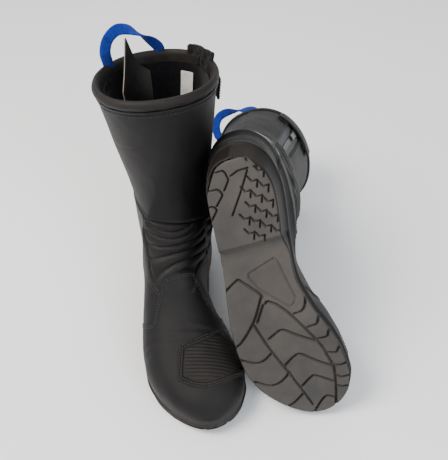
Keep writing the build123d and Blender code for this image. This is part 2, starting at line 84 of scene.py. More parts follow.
def smooth_table(rows):
    """A function that runs smoothly and without overshoot through rows of (position, value, ...)."""
    data = np.array(sorted(rows), float)
    x, y = data[:, 0], data[:, 1:]
    step = np.diff(x)[:, None]
    slope = np.diff(y, axis=0) / step
    inner = np.where(slope[1:] * slope[:-1] > 0,
                     2 * slope[1:] * slope[:-1] / (slope[1:] + slope[:-1] + 1e-12), 0.0)
    m = np.vstack([slope[:1], inner, slope[-1:]])

    def value(at):
        at = np.clip(np.asarray(at, float), x[0], x[-1])
        i = np.clip(np.searchsorted(x, at, side="right") - 1, 0, len(x) - 2)
        h = x[i + 1] - x[i]
        t = ((at - x[i]) / h)[..., None]
        h = h[..., None]
        return ((2 * t**3 - 3 * t**2 + 1) * y[i] + (t**3 - 2 * t**2 + t) * h * m[i]
                + (-2 * t**3 + 3 * t**2) * y[i + 1] + (t**3 - t**2) * h * m[i + 1])

    return value


plan_at, instep_at, leg_at = smooth_table(SOLE_PLAN), smooth_table(INSTEP), smooth_table(LEG)


def sole_top(s):
    """Height of the sole's upper edge at a distance s from the heel's back."""
    return 13.0 + 15.0 / (1 + np.exp((s - 140) / 17)) + 9.0 * np.clip((s - 215) / 90, 0, 1) ** 2


def outside(p):
    """Rough signed distance from the upper's outer surface."""
    x, y, z = p[..., 0], p[..., 1], p[..., 2]
    leg = leg_at(z)
    front, back, half = leg[..., 0], leg[..., 1], leg[..., 2]
    s = HEEL_BACK - y
    plan = plan_at(np.clip(s, HEEL_ROUND, SOLE_LENGTH))
    centre, width = (plan[..., 0] + plan[..., 1]) / 2, (plan[..., 1] - plan[..., 0]) / 2 - 1.5
    top = instep_at(np.clip(s, 0, SOLE_LENGTH))[..., 0]
    rise = np.clip(z - WIDEST, 0, None) / np.maximum(top - WIDEST, 3.0)
    tuck = np.clip(WIDEST - z, 0, None) / 60.0
    heel = np.clip(HEEL_ROUND - s, 0, None) / (HEEL_ROUND - HEEL_BACK + back)
    foot = (np.abs(x - centre) / width) ** 2.4 + rise ** 2.3 + tuck ** 2 + heel ** 2.2
    d_foot = (foot ** (1 / 2.4) - 1) * np.minimum(width, 40) + np.clip(s - SOLE_LENGTH + 2, 0, None)
    y_mid, y_half = (front + back) / 2, (back - front) / 2
    ring = (np.abs(x) / half) ** 2.15 + (np.abs(y - y_mid) / y_half) ** 2.15
    d_leg = (ring ** (1 / 2.15) - 1) * half + np.clip(60 - z, 0, None)
    mix = np.clip(0.5 + 0.5 * (d_leg - d_foot) / BLEND, 0, 1)
    return d_leg * (1 - mix) + d_foot * mix - BLEND * mix * (1 - mix)


def reach(origin, direction, far=190.0):
    """Where rays from inside the boot meet its outer surface."""
    near, far = np.zeros(origin.shape[:-1]), np.full(origin.shape[:-1], far)
    for _ in range(22):
        middle = (near + far) / 2
        inside = outside(origin + direction * middle[..., None]) < 0
        near, far = np.where(inside, middle, near), np.where(inside, far, middle)
    return origin + direction * near[..., None]


def slope_of(p):
    """Gradient of the surface field."""
    g = np.zeros_like(p)
    for k in range(3):
        e = np.zeros(3)
        e[k] = 0.8
        g[..., k] = (outside(p + e) - outside(p - e)) / 1.6
    return g


def drop(p, times=6):
    """Points moved on to the surface."""
    p = np.array(p, float)
    for _ in range(times):
        g = slope_of(p)
        p = p - g * (outside(p) / np.maximum((g * g).sum(-1), 0.05))[..., None]
    return p


def outwards(p):
    """Unit normals of the surface at points on it."""
    g = slope_of(p)
    return g / np.maximum(np.linalg.norm(g, axis=-1), 1e-6)[..., None]


def smoothstep(t):
    """A soft step from 0 to 1."""
    t = np.clip(t, 0, 1)
    return t * t * (3 - 2 * t)


def soft_noise(p, scale, seed=0):
    """Smooth repeatable waves, between about -1 and 1."""
    rng = np.random.RandomState(seed)
    total = 0.0
    for _ in range(7):
        k = rng.normal(size=3) / scale * 2.2
        total = total + np.sin(p @ k + rng.uniform(0, 6.28))
    return total / 3.5


def run_along(line):
    """Distance along a line at each of its points."""
    return np.concatenate([[0], np.cumsum(np.linalg.norm(np.diff(line, axis=0), axis=1))])


def sampled(values, at, where):
    """Columns of values given at places along a line, read at other places."""
    return np.stack([np.interp(where, at, values[:, k]) for k in range(values.shape[1])], -1)


def unit(vectors):
    """Vectors of length one."""
    return vectors / np.linalg.norm(vectors, axis=-1, keepdims=True)


def curve(points, count=None, step=1.2):
    """A smooth line through points, in even steps."""
    p = np.array(points, float)
    ext = np.vstack([2 * p[0] - p[1], p, 2 * p[-1] - p[-2]])
    out = []
    for i in range(1, len(ext) - 2):
        a, b, c, d = ext[i - 1:i + 3]
        t = np.linspace(0, 1, 24, endpoint=False)[:, None]
        square, cube = 2 * a - 5 * b + 4 * c - d, 3 * b - a - 3 * c + d
        out.append(0.5 * (2 * b + (c - a) * t + square * t**2 + cube * t**3))
    line = np.vstack(out + [p[-1:]])
    at = run_along(line)
    count = count or max(2, int(at[-1] / step) + 1)
    return sampled(line, at, np.linspace(0, at[-1], count))


def line_distance(p, line):
    """Distance of points from an open line of points."""
    shape = p.shape[:-1]
    q = p.reshape(-1, p.shape[-1])
    best = np.full(len(q), 1e9)
    for a, b in zip(line[:-1], line[1:]):
        ab = b - a
        t = np.clip((q - a) @ ab / max(ab @ ab, 1e-9), 0, 1)
        best = np.minimum(best, np.linalg.norm(q - a - t[:, None] * ab, axis=1))
    return best.reshape(shape)


def within(c, outline):
    """Whether flat points lie in a closed outline."""
    x, y = c[..., 0], c[..., 1]
    result = np.zeros(x.shape, bool)
    o = np.array(outline, float)
    for (x1, y1), (x2, y2) in zip(o, np.roll(o, -1, axis=0)):
        crosses = (y1 > y) != (y2 > y)
        where = (x2 - x1) * (y - y1) / (y2 - y1 + 1e-12) + x1
        result ^= crosses & (x < where)
    return result


# ---------------------------------------------------------------- places of the two boots
def turn(axis, degrees):
    """The matrix of a turn about one axis."""
    return np.array(Matrix.Rotation(math.radians(degrees), 3, axis))


RIGHT = turn("Z", PAIR_YAW)
LEFT = turn("Y", TIP_ROLL) @ turn("X", TIP_PITCH) @ turn("Z", 180) @ np.diag([-1.0, 1.0, 1.0])
SIDES = {"right": (RIGHT, np.zeros(3)), "left": (LEFT, TIP_PLACE)}


def place(side, p):
    """A boot's own millimetres in the shared frame's metres."""
    rotation, shift = SIDES[side]
    return (np.asarray(p, float) @ rotation.T + shift) / 1000.0


# ---------------------------------------------------------------- meshes
def grid_faces(n, m, wrap=False, keep=None):
    """Quads of a grid of n rows and m columns, closed round its columns with wrap."""
    i, j = np.meshgrid(np.arange(n - 1), np.arange(m if wrap else m - 1), indexing="ij")
    j2 = (j + 1) % m
    quads = np.stack([i * m + j, i * m + j2, (i + 1) * m + j2, (i + 1) * m + j], -1).reshape(-1, 4)
    if keep is not None:
        good = keep.reshape(-1)
        quads = quads[good[quads].all(axis=1)]
    return quads


def grid(points, wrap=False, keep=None):
    """Points and quads of a grid, as one part of a mesh."""
    n, m = points.shape[:2]
    return points.reshape(-1, 3), grid_faces(n, m, wrap, keep)


def joined(parts):
    """Several parts as one."""
    verts, faces, base = [], [], 0
    for v, f in parts:
        verts.append(v)
        faces.append(f + base)
        base += len(v)
    return np.vstack(verts), np.vstack(faces)


def make(side, name, parts, material, slot, outward=True, smooth=True):
    """One mesh from (points, quads) parts in a boot's own frame."""
    verts, faces = joined(parts)
    if (side == "left") == outward:
        faces = faces[:, ::-1]
    used = np.unique(faces)
    index = np.full(len(verts), -1)
    index[used] = np.arange(len(used))
    verts, faces = verts[used], index[faces]
    mesh = bpy.data.meshes.new(f"{side}_{name}")
    mesh.from_pydata(place(side, verts).tolist(), [], faces.tolist())
    if smooth:
        mesh.polygons.foreach_set("use_smooth", np.ones(len(mesh.polygons), bool))
    mesh.materials.append(material)
    obj = bpy.data.objects.new(f"{side}_{name}", mesh)
    bpy.context.scene.collection.objects.link(obj)
    return obj


def tube(line, radius, sides):
    """A round cord along a line, with tapered ends."""
    along = unit(np.gradient(line, axis=0))
    across = unit(np.cross(along, [0.0, 0.0, 1.0]))
    upward = np.cross(across, along)
    thick = np.full(len(line), float(radius))
    thick[0] = thick[-1] = radius * 0.35
    turned = np.linspace(0, 2 * np.pi, sides, endpoint=False)[None, :, None]
    ring = across[:, None] * np.cos(turned) + upward[:, None] * np.sin(turned)
    return grid(line[:, None] + ring * thick[:, None, None], wrap=True)


def stitches(line, up, pitch=3.4, length=2.3, radius=0.5):
    """A row of short raised thread stitches along a line on the surface."""
    at = run_along(line)
    starts = np.arange(pitch * 0.5, at[-1] - length, pitch)
    if len(starts) == 0:
        return []
    lift = np.array([-0.2, 0.28, 0.42, 0.28, -0.2])[:, None]
    thick = np.array([0.5, 1.0, 1.0, 1.0, 0.5])[:, None, None] * radius
    where = starts[:, None] + np.linspace(0, 1, len(lift)) * length
    middle, normal = sampled(line, at, where), sampled(up, at, where)
    sideways = np.cross(unit(middle[:, -1:] - middle[:, :1]), normal)
    middle = middle + normal * lift
    turned = np.linspace(0, 2 * np.pi, 6, endpoint=False)[:, None]
    ring = sideways[:, :, None] * np.cos(turned) + normal[:, :, None] * np.sin(turned)
    verts = middle[:, :, None] + thick * ring
    first = len(lift) * len(turned) * np.arange(len(starts))[:, None, None]
    faces = grid_faces(len(lift), len(turned), wrap=True)[None] + first
    return [(verts.reshape(-1, 3), faces.reshape(-1, 4))]


def beside(line, sideways, lift):
    """A line moved sideways within the surface and lifted off it, with its normals."""
    on_skin = drop(line)
    along = unit(np.gradient(on_skin, axis=0))
    moved = drop(on_skin + np.cross(outwards(on_skin), along) * sideways, 4)
    normal = outwards(moved)
    return moved + normal * lift, normal


def seam(line, offsets, lift, **sizes):
    """Stitch rows beside a line."""
    made = []
    for offset in offsets:
        made += stitches(*beside(line, offset, lift), **sizes)
    return made


def lifted(p, height):
    """Points of the surface moved along their normals."""
    return p + outwards(p) * np.asarray(height)[..., None]


def outline(rows):
    """The points round the edge of a grid, each once."""
    return np.vstack([rows[0], rows[1:, -1], rows[-1, -2::-1], rows[-2:0:-1, 0]])


def closed_pair(outer, inner):
    """A patch's outer and inner faces with a strip that closes them."""
    strip = np.stack([outline(inner), outline(outer)])
    return [grid(outer), grid(inner[:, ::-1]), grid(strip, wrap=True)]


# ---------------------------------------------------------------- what the panels are
VAMP_EDGE = drop(np.vstack([
    curve([(-52, -82, 18), (-51, -90, 32), (-50, -104, 50), (-43, -123, 69)]),
    curve([(-41, -124, 73), (-36, -112, 84), (-31, -102, 93), (-25, -93.5, 104)]),
    curve([(-22, -91, 108), (-5, -90, 110.5), (10, -88.5, 109), (16, -88, 106)]),
    curve([(18.5, -90, 103), (24, -100, 90), (28.5, -112, 76), (32, -123, 63)]),
    curve([(35, -119, 58), (37, -106, 44), (35, -92, 32), (32, -82, 18)]),
]))
QUARTER_OUT = [(-52, 160), (-63, 136), (-75, 115.5), (-90, 102), (-103, 95)]
QUARTER_BACK = [(-38, 173), (-18, 181), (8, 184), (34, 181)]
RIB_LINES = [111.0, 119.5, 129.3, 137.8, 146.0, 153.4, 164.0]


def front_angle(p):
    """Chart of the forefoot: angle round its section, 90 degrees on top and 0 on the medial side."""
    s = HEEL_BACK - p[..., 1]
    middle = plan_at(s).mean(-1)
    return np.degrees(np.arctan2(p[..., 2] - sole_top(s) - 1.0, p[..., 0] - middle))


def rib_level(p):
    """Height that follows the fan of the ankle's ribs."""
    return 137.0 + (p[..., 2] - 137.0) / (1 + np.clip(np.abs(p[..., 0]) / 36.0, 0, 1.15) ** 2)


VAMP_CHART = np.stack([front_angle(VAMP_EDGE), VAMP_EDGE[:, 1]], -1)
VAMP_CHART = np.vstack([[[230, -80]], VAMP_CHART, [[-45, -80], [-45, -300], [230, -300]]])


def side_line(points, medial):
    """A line given by (y, z) in side view, laid on one side of the boot."""
    flat = curve(points)
    origin = np.stack([np.where(flat[:, 0] < -70, -8.0, 0.0), flat[:, 0], flat[:, 1]], -1)
    way = np.zeros_like(origin)
    way[:, 0] = 1.0 if medial else -1.0
    return reach(origin, way)


LATERAL_EDGE = side_line(QUARTER_OUT[::-1] + QUARTER_BACK, False)
MEDIAL_LOW = [(-105, 93), (-92, 99), (-78, 102), (-56, 101), (-34, 99), (0, 98), (34, 98), (48, 102)]
MEDIAL_EDGE = side_line(MEDIAL_LOW, True)
MEDIAL_FRONT = side_line([(-56, 101), (-50, 116), (-46, 132), (-42, 146)], True)
COUNTER_FRONT = [(22, 30), (30, 52), (44, 72), (58, 84)]
COUNTER_LINES = [side_line(COUNTER_FRONT, medial) for medial in (False, True)]


def edge_profile(distance, height):
    """Height of a turned leather edge at a signed distance inside it."""
    bead = 0.25 * height * np.exp(-((distance - 1.3) / 0.9) ** 2)
    crease = -0.35 * np.exp(-((distance + 0.7) / 0.5) ** 2)
    return height * smoothstep((distance + 0.35) / 1.1) + bead + crease


def panel_edges(p):
    """Signed distances inside the vamp's edge and inside the quarters' top edges."""
    x, y, z = p[..., 0], p[..., 1], p[..., 2]
    in_vamp = within(np.stack([front_angle(p), y], -1), VAMP_CHART) & (z < 118) & (y < -70)
    near_vamp = (y < -66) & (z < 125)
    d_vamp = np.where(near_vamp, line_distance(p, VAMP_EDGE[::2]), 99.0) * np.where(in_vamp, 1, -1)
    side_view = np.stack([y, z], -1)
    lateral = [(-135, 5), (-135, 93)] + QUARTER_OUT[::-1] + QUARTER_BACK + [(36, 150), (100, 150), (100, 5)]
    medial = [(-135, 5), (-135, 90)] + MEDIAL_LOW + [(60, 112), (100, 112), (100, 5)]
    sign_lateral = np.where(within(side_view, lateral) & (x < 0), 1, -1)
    sign_medial = np.where(within(side_view, medial) & (x >= 0), 1, -1)
    d_lateral = line_distance(p, LATERAL_EDGE[::2]) * sign_lateral
    d_medial = line_distance(p, MEDIAL_EDGE[::2]) * sign_medial
    d_side = np.where(x < 0, d_lateral, d_medial)
    return d_vamp, np.where((np.abs(x) < 12) & (y > 0), 9.0, d_side)


def rib_relief(p, d_side):
    """Puffed ribs of the soft ankle, in a fan over the instep, with puckered channels."""
    x, y = p[..., 0], p[..., 1]
    level = rib_level(p)
    band = np.clip(np.searchsorted(RIB_LINES, level), 0, len(RIB_LINES))
    low, high = np.array([0] + RIB_LINES)[band], np.array(RIB_LINES + [400])[band]
    share = np.clip((level - low) / (high - low), 0, 1)
    puff = (1 - np.abs(2 * share - 1) ** 2.6) ** 0.75
    depth = np.clip((high - low) / 9.0, 0.7, 1.15)
    in_ribs = (level > RIB_LINES[0]) & (level < RIB_LINES[-1]) & (y < 20)
    lateral_fade = smoothstep((-d_side - 0.5) / 3.0)
    medial_fade = smoothstep((-46 - y) / 8.0) * smoothstep(line_distance(p, MEDIAL_FRONT[::2]) / 3.0)
    fade = np.where(x < 0, lateral_fade, medial_fade)
    ribs = np.where(in_ribs, 2.9 * depth * puff - 0.5, -0.5 * (level > 100))
    pucker = np.where(in_ribs, 0.18 * np.sin(x * 1.9 + 3 * np.sin(level)) * (1 - puff), 0)
    return np.where(level > 104, ribs + pucker, 0.0) * fade


def foot_relief(p):
    """Height of panels, edges and ribs over the boot's plain surface, foot and ankle."""
    x, y, z = p[..., 0], p[..., 1], p[..., 2]
    d_vamp, d_side = panel_edges(p)
    off_vamp = 1 - smoothstep((d_vamp + 0.35) / 1.1)
    relief = 0.22 * soft_noise(p, 26, 3) + 0.1 * soft_noise(p, 9, 4)
    relief += edge_profile(d_vamp, 1.5) + edge_profile(d_side, 1.1) * off_vamp
    relief += rib_relief(p, d_side) * off_vamp
    # textile gusset in the medial hollow
    window = smoothstep((y + 46) / 7) * smoothstep((50 - y) / 7) * smoothstep((z - 101) / 6) * (x > 10)
    folds = 1.1 * np.sin((z + 0.3 * y) * 0.42 + np.sin(y * 0.11) * 1.6)
    relief += window * (2.4 + folds * smoothstep((165 - z) / 20))
    # creases behind the toe and at the heel counter's edge
    crease = np.exp(-((y + 140 + 0.12 * np.abs(x)) / 9.0) ** 2) * 0.35 * np.sin((y + 0.2 * x) * 0.55)
    relief += crease * (z > 45)
    for line in COUNTER_LINES:
        relief -= 0.5 * np.exp(-(line_distance(p, line[::3]) / 0.7) ** 2) * (y > 15)
    return relief


def ring_points(height, slope, angles):
    """Surface points round the leg in planes of given height on the axis and slope to the front."""
    a = np.radians(angles)
    origin = np.zeros(a.shape + (3,))
    origin[..., 2] = height
    way = np.stack([np.cos(a), -np.sin(a), -slope * np.sin(a)], -1)
    return reach(origin, way)


def angles_of(height, slope, y):
    """The medial angle at which each plane's ring has this y."""
    a = np.linspace(-90, 90, 121)[None].repeat(len(height), 0)
    ring = ring_points(height[:, None], slope[:, None], a)
    wanted = np.broadcast_to(y, len(height))
    return np.array([np.interp(-value, -row, a[0]) for value, row in zip(wanted, ring[..., 1])])


def leg_plane(share, under_rim):
    """Height and slope of planes that turn from the leg's foot edge to a drop under the rim."""
    height = LEG_FOOT[0] + (RIM_MIDDLE - under_rim - LEG_FOOT[0]) * share
    return height, LEG_FOOT[1] + (-RIM_LEAN - LEG_FOOT[1]) * share


# ---------------------------------------------------------------- materials
def new_material(name):
    """A material with its node tree and shader."""
    material = bpy.data.materials.new(name)
    material.use_nodes = True
    tree = material.node_tree
    shader = tree.nodes["Principled BSDF"]
    return material, tree, shader


def node(tree, kind, **inputs):
    """A node with given inputs; a name that starts with p_ is a property of the node itself."""
    made = tree.nodes.new(kind)
    for key, value in inputs.items():
        if key.startswith("p_"):
            setattr(made, key[2:], value)
        else:
            made.inputs[key.replace("_", " ")].default_value = value
    return made


def ramp(tree, source, stops):
    """Colours from (position, colour) stops, driven by a value."""
    made = tree.nodes.new("ShaderNodeValToRGB")
    elements = made.color_ramp.elements
    while len(elements) < len(stops):
        elements.new(0.5)
    for element, (position, colour) in zip(elements, stops):
        element.position = position
        element.color = (*colour, 1)
    tree.links.new(source, made.inputs["Fac"])
    return made.outputs["Color"]


def spread(tree, source, low, high):
    """A value between 0 and 1 mapped to a range."""
    made = node(tree, "ShaderNodeMapRange", To_Min=low, To_Max=high)
    tree.links.new(source, made.inputs["Value"])
    return made.outputs["Result"]


def bumps(tree, shader, layers):
    """Stacked bump nodes from (height, strength, distance)."""
    last = None
    for height, strength, distance in layers:
        bump = node(tree, "ShaderNodeBump", Strength=strength, Distance=distance)
        tree.links.new(height, bump.inputs["Height"])
        if last is not None:
            tree.links.new(last, bump.inputs["Normal"])
        last = bump.outputs["Normal"]
    tree.links.new(last, shader.inputs["Normal"])


def coords(tree):
    """Positions on the object itself, in metres."""
    return tree.nodes.new("ShaderNodeTexCoord").outputs["Object"]


def texture(tree, kind, vector, scale, **props):
    """A texture node read at given positions."""
    made = node(tree, kind, Scale=scale, **props)
    tree.links.new(vector, made.inputs["Vector"])
    return made


def leather(name, dark, light, rough=(0.38, 0.55), grain=900.0, strength=0.35):
    """Fine-grained leather with pores and soft scuffs."""
    material, tree, shader = new_material(name)
    at = coords(tree)
    cells = texture(tree, "ShaderNodeTexVoronoi", at, grain, p_feature="DISTANCE_TO_EDGE")
    fine = texture(tree, "ShaderNodeTexNoise", at, grain * 1.7, Detail=4.0)
    broad = texture(tree, "ShaderNodeTexNoise", at, 14.0, Detail=5.0, Roughness=0.6)
    scuff = texture(tree, "ShaderNodeTexNoise", at, 55.0, Detail=8.0, Roughness=0.7)
    mid = tuple((a + b) / 2 for a, b in zip(dark, light))
    colour = ramp(tree, broad.outputs["Fac"], [(0.3, dark), (0.52, mid), (0.72, light)])
    tree.links.new(colour, shader.inputs["Base Color"])
    tree.links.new(spread(tree, scuff.outputs["Fac"], *rough), shader.inputs["Roughness"])
    pores = ramp(tree, cells.outputs["Distance"], [(0.0, (0, 0, 0)), (0.28, (1, 1, 1))])
    bumps(tree, shader, [(pores, strength, 0.00025), (fine.outputs["Fac"], strength * 0.6, 0.0002),
                         (scuff.outputs["Fac"], 0.25, 0.0008)])
    shader.inputs["Specular IOR Level"].default_value = 0.2
    return material


def cloth(name, dark, light, scale, rough=0.8, strength=0.6, sheen=0.3, metallic=0.0):
    """A weave of two crossing thread directions."""
    material, tree, shader = new_material(name)
    at = coords(tree)
    warp = texture(tree, "ShaderNodeTexWave", at, scale, Distortion=0.6, p_bands_direction="X")
    weft = texture(tree, "ShaderNodeTexWave", at, scale, Distortion=0.6, p_bands_direction="Z")
    noise = texture(tree, "ShaderNodeTexNoise", at, scale * 0.5, Detail=6.0)
    colour = ramp(tree, noise.outputs["Fac"], [(0.3, dark), (0.7, light)])
    tree.links.new(colour, shader.inputs["Base Color"])
    tree.links.new(spread(tree, noise.outputs["Fac"], rough - 0.1, rough + 0.1), shader.inputs["Roughness"])
    shader.inputs["Specular IOR Level"].default_value = 0.2
    bumps(tree, shader, [(warp.outputs["Fac"], strength, 0.0004), (weft.outputs["Fac"], strength, 0.0004),
                         (noise.outputs["Fac"], 0.3, 0.0006)])
    shader.inputs["Sheen Weight"].default_value = sheen
    shader.inputs["Metallic"].default_value = metallic
    return material


def rubber(name, dark, light, rough=(0.6, 0.8), scale=260.0):
    """Moulded rubber with a fine stipple and dust."""
    material, tree, shader = new_material(name)
    at = coords(tree)
    dust = texture(tree, "ShaderNodeTexNoise", at, 18.0, Detail=7.0, Roughness=0.65)
    stipple = texture(tree, "ShaderNodeTexNoise", at, scale * 4, Detail=3.0)
    flow = texture(tree, "ShaderNodeTexVoronoi", at, scale)
    colour = ramp(tree, dust.outputs["Fac"], [(0.3, dark), (0.68, light)])
    tree.links.new(colour, shader.inputs["Base Color"])
    tree.links.new(spread(tree, dust.outputs["Fac"], *rough), shader.inputs["Roughness"])
    shader.inputs["Specular IOR Level"].default_value = 0.24
    bumps(tree, shader, [(stipple.outputs["Fac"], 0.25, 0.0003), (flow.outputs["Distance"], 0.12, 0.0004)])
    return material


def hard(name, dark, light, metallic, rough, scale=300.0):
    """Metal, board or plastic with a fine, slightly uneven surface."""
    material, tree, shader = new_material(name)
    at = coords(tree)
    scratch = texture(tree, "ShaderNodeTexNoise", at, scale, Detail=8.0, Roughness=0.7)
    colour = ramp(tree, scratch.outputs["Fac"], [(0.35, dark), (0.65, light)])
    tree.links.new(colour, shader.inputs["Base Color"])
    tree.links.new(spread(tree, scratch.outputs["Fac"], *rough), shader.inputs["Roughness"])
    bumps(tree, shader, [(scratch.outputs["Fac"], 0.2, 0.0003)])
    shader.inputs["Metallic"].default_value = metallic
    return material


MAT = {
    "black_leather": leather(
        "smooth_black_leather", (0.0034, 0.0034, 0.0040), (0.0092, 0.0080, 0.0074), (0.5, 0.62)),
    "pad_leather": leather(
        "pad_leather", (0.0042, 0.0037, 0.0034), (0.0125, 0.0104, 0.0090), (0.46, 0.6), 1100.0),
    "flex_leather": leather(
        "flex_leather", (0.0040, 0.0038, 0.0040), (0.0110, 0.0092, 0.0080), (0.4, 0.54), 1300.0, 0.3),
    "collar_leather": leather(
        "collar_leather", (0.0065, 0.0053, 0.0047), (0.0165, 0.0135, 0.0120), (0.5, 0.64), 1000.0),
    "gusset_textile": cloth(
        "gusset_textile", (0.0022, 0.0022, 0.0024), (0.008, 0.0072, 0.0066), 420.0, 0.82, 0.6, 0.05),
    "lining_textile": cloth(
        "lining_textile", (0.0012, 0.0012, 0.0018), (0.005, 0.005, 0.0065), 500.0, 0.36, 0.25, 0.05),
    "reflective_strip": cloth(
        "reflective_strip", (0.30, 0.30, 0.29), (0.46, 0.45, 0.43), 650.0, 0.4, 0.3, 0.0),
    "blue_webbing": cloth("blue_webbing", (0.0, 0.014, 0.20), (0.001, 0.042, 0.42), 520.0, 0.7, 0.7, 0.05),
    "zip_fabric": cloth("zip_fabric", (0.004, 0.004, 0.004), (0.011, 0.011, 0.011), 700.0, 0.8),
    "hook_and_loop": cloth(
        "hook_and_loop", (0.004, 0.004, 0.004), (0.017, 0.016, 0.015), 260.0, 0.95, 1.0, 0.3),
    "label_cloth": cloth("label_cloth", (0.50, 0.49, 0.46), (0.70, 0.69, 0.66), 480.0, 0.8, 0.3, 0.1),
    "footbed_foam": cloth("footbed_foam", (0.010, 0.010, 0.011), (0.024, 0.023, 0.023), 300.0, 0.9),
    "thread": cloth("thread", (0.016, 0.017, 0.020), (0.048, 0.048, 0.052), 900.0, 0.5, 0.5, 0.1),
    "piping": leather("piping", (0.003, 0.003, 0.004), (0.008, 0.008, 0.010), (0.28, 0.4), 900.0, 0.2),
    "tread_rubber": rubber("tread_rubber", (0.034, 0.032, 0.0305), (0.066, 0.058, 0.051)),
    "midsole_rubber": rubber(
        "wall_rubber", (0.0042, 0.0034, 0.0027), (0.0115, 0.0090, 0.0072), (0.46, 0.62)),
    # a lighter copy of the wall's rubber for the sole's top lip: a painted highlight along the sole cup's
    # upper edge
    "welt_rubber": rubber("welt_rubber", (0.010, 0.0078, 0.0064), (0.024, 0.019, 0.0155), (0.42, 0.56)),
    "zip_metal": hard("zip_metal", (0.05, 0.05, 0.05), (0.11, 0.11, 0.11), 1.0, (0.3, 0.5)),
    "shank_steel": hard("shank_steel", (0.35, 0.35, 0.36), (0.5, 0.5, 0.5), 1.0, (0.3, 0.45)),
    "fibre_board": hard("fibre_board", (0.16, 0.11, 0.07), (0.26, 0.19, 0.13), 0.0, (0.8, 0.95), 90.0),
    "stiffener_plastic": hard(
        "stiffener_plastic", (0.02, 0.02, 0.02), (0.04, 0.04, 0.04), 0.0, (0.4, 0.6)),
    "shaper_sheet": hard(
        "shaper_sheet", (0.004, 0.004, 0.0045), (0.011, 0.010, 0.010), 0.0, (0.34, 0.48), 60.0),
    # a far lighter copy of the shaper sheet's black plastic for its edge strip: a painted highlight along the
    # sheet's edge
    "cut_edge": hard("cut_edge", (0.16, 0.14, 0.12), (0.26, 0.23, 0.20), 0.0, (0.7, 0.9), 500.0),
}
SLOT_OF = {n: n for n in MAT}
# the sheet edge's lighter plastic is a painted highlight on the shaper sheet, so it shares the sheet's slot
# the sole lip's lighter rubber is a painted highlight on the midsole, so it shares the midsole's slot
SLOT_OF.update(collar_leather="black_leather", thread="black_leather", piping="black_leather",
               welt_rubber="midsole_rubber", cut_edge="shaper_sheet")


# ---------------------------------------------------------------- shapes, once for both boots
def shell_fine(rows, columns):
    return max(8, int(rows / FINE)), max(8, int(columns / FINE))


def foot_front():
    """Toe dome and sections over the forefoot."""
    n_dome, cols = shell_fine(52, 190)
    rows = int(118 / FINE)
    angles = np.radians(np.linspace(-16, 196, cols))
    turned = np.radians(np.linspace(1.0, 90, n_dome, endpoint=False))[:, None]
    s0 = HEEL_BACK + 190.0
    hub = np.array([plan_at(s0).mean(), -190.0, sole_top(s0) + 1.0])
    way = np.stack([np.sin(turned) * np.cos(angles), -np.cos(turned) * np.ones_like(angles),
                    np.sin(turned) * np.sin(angles)], -1)
    dome = reach(np.broadcast_to(hub, way.shape).copy(), way)
    y = np.linspace(-190, -72, rows)
    s = HEEL_BACK - y
    origin = np.zeros((rows, cols, 3))
    origin[..., 0] = plan_at(s).mean(-1)[:, None]
    origin[..., 1] = y[:, None]
    origin[..., 2] = sole_top(s)[:, None] + 1.0
    way = np.zeros_like(origin)
    way[..., 0], way[..., 2] = np.cos(angles), np.sin(angles)
    return np.vstack([dome, reach(origin, way)])


def foot_rear():
    """Sections round the heel and along both sides up to the vamp's seam."""
    rows, cols = shell_fine(92, 330)
    height = np.linspace(14.0, 105.0, rows)[:, None]
    slope = np.linspace(0.06, -0.03, rows)[:, None]
    share = np.linspace(-1, 1, cols)[None]
    pivot = 20.0
    y = pivot - (pivot - VAMP_SEAM) * np.clip(np.abs(share) - 0.5, 0, None) / 0.5 + 0 * height
    turned = np.pi * np.clip(share, -0.5, 0.5) + 0 * height
    way = np.stack([np.sin(turned), np.cos(turned), slope * np.cos(turned)], -1)
    origin = np.stack([-8 * np.clip((pivot - y) / 60, 0, 1), y, height + slope * y], -1)
    return reach(origin, way)


front_base, rear_base = foot_front(), foot_rear()
front_skin = lifted(front_base, foot_relief(front_base) + 0.1)
rear_skin = lifted(rear_base, foot_relief(rear_base))
above_sole = front_base[..., 2] > sole_top(HEEL_BACK - front_base[..., 1]) - TUCK
FRONT_KEEP = (front_base[..., 2] < 104 - 0.026 * front_base[..., 1]) & above_sole
REAR_KEEP = rear_base[..., 2] > sole_top(HEEL_BACK - rear_base[..., 1]) - TUCK

rows, cols = shell_fine(80, 380)
share = np.linspace(0, 1, rows)[:, None]
ankle_angles = np.linspace(-90, 270, cols)[None] + 0 * share
low_plane, high_plane = (95.0, -0.02), (160.0, -0.25)
ankle_base = ring_points(low_plane[0] + (high_plane[0] - low_plane[0]) * share,
                         low_plane[1] + (high_plane[1] - low_plane[1]) * share, ankle_angles)

rows, cols = shell_fine(165, 380)
share = np.linspace(0, 1, rows)
height, slope = leg_plane(share, SKIN_DROP)
zip_open = smoothstep((height - 150) / 22.0)
slot_front = angles_of(height, slope, ZIP_Y - SLOT_HALF * zip_open)
slot_back = angles_of(height, slope, ZIP_Y + SLOT_HALF * zip_open)
u = np.linspace(0, 1, cols)[None]
leg_angles = slot_front[:, None] + (360 + slot_back - slot_front)[:, None] * u
lean = 0.10 * -np.cos(np.radians(leg_angles)) * (np.sin(np.radians(leg_angles)) > -0.2)
warped = share[:, None] + (1 - share[:, None]) * lean
leg_base = ring_points(*leg_plane(warped, SKIN_DROP), leg_angles)
from_foot = leg_base[..., 2] - leg_base[:1, :, 2]
side_gap = np.minimum(u, 1 - u) * np.linalg.norm(np.diff(leg_base, axis=1), axis=2).sum(1)[:, None]
side_gap = side_gap + 30 * (1 - zip_open[:, None])
seam_distance = np.where(leg_base[..., 0] < 0, SIDE_SEAM - leg_base[..., 1], 60.0)
relief = edge_profile(from_foot - 0.6, 1.3) + 1.2 * smoothstep((side_gap - 0.4) / 1.6) - 1.5
relief = relief + edge_profile(seam_distance, 0.8) - 0.4
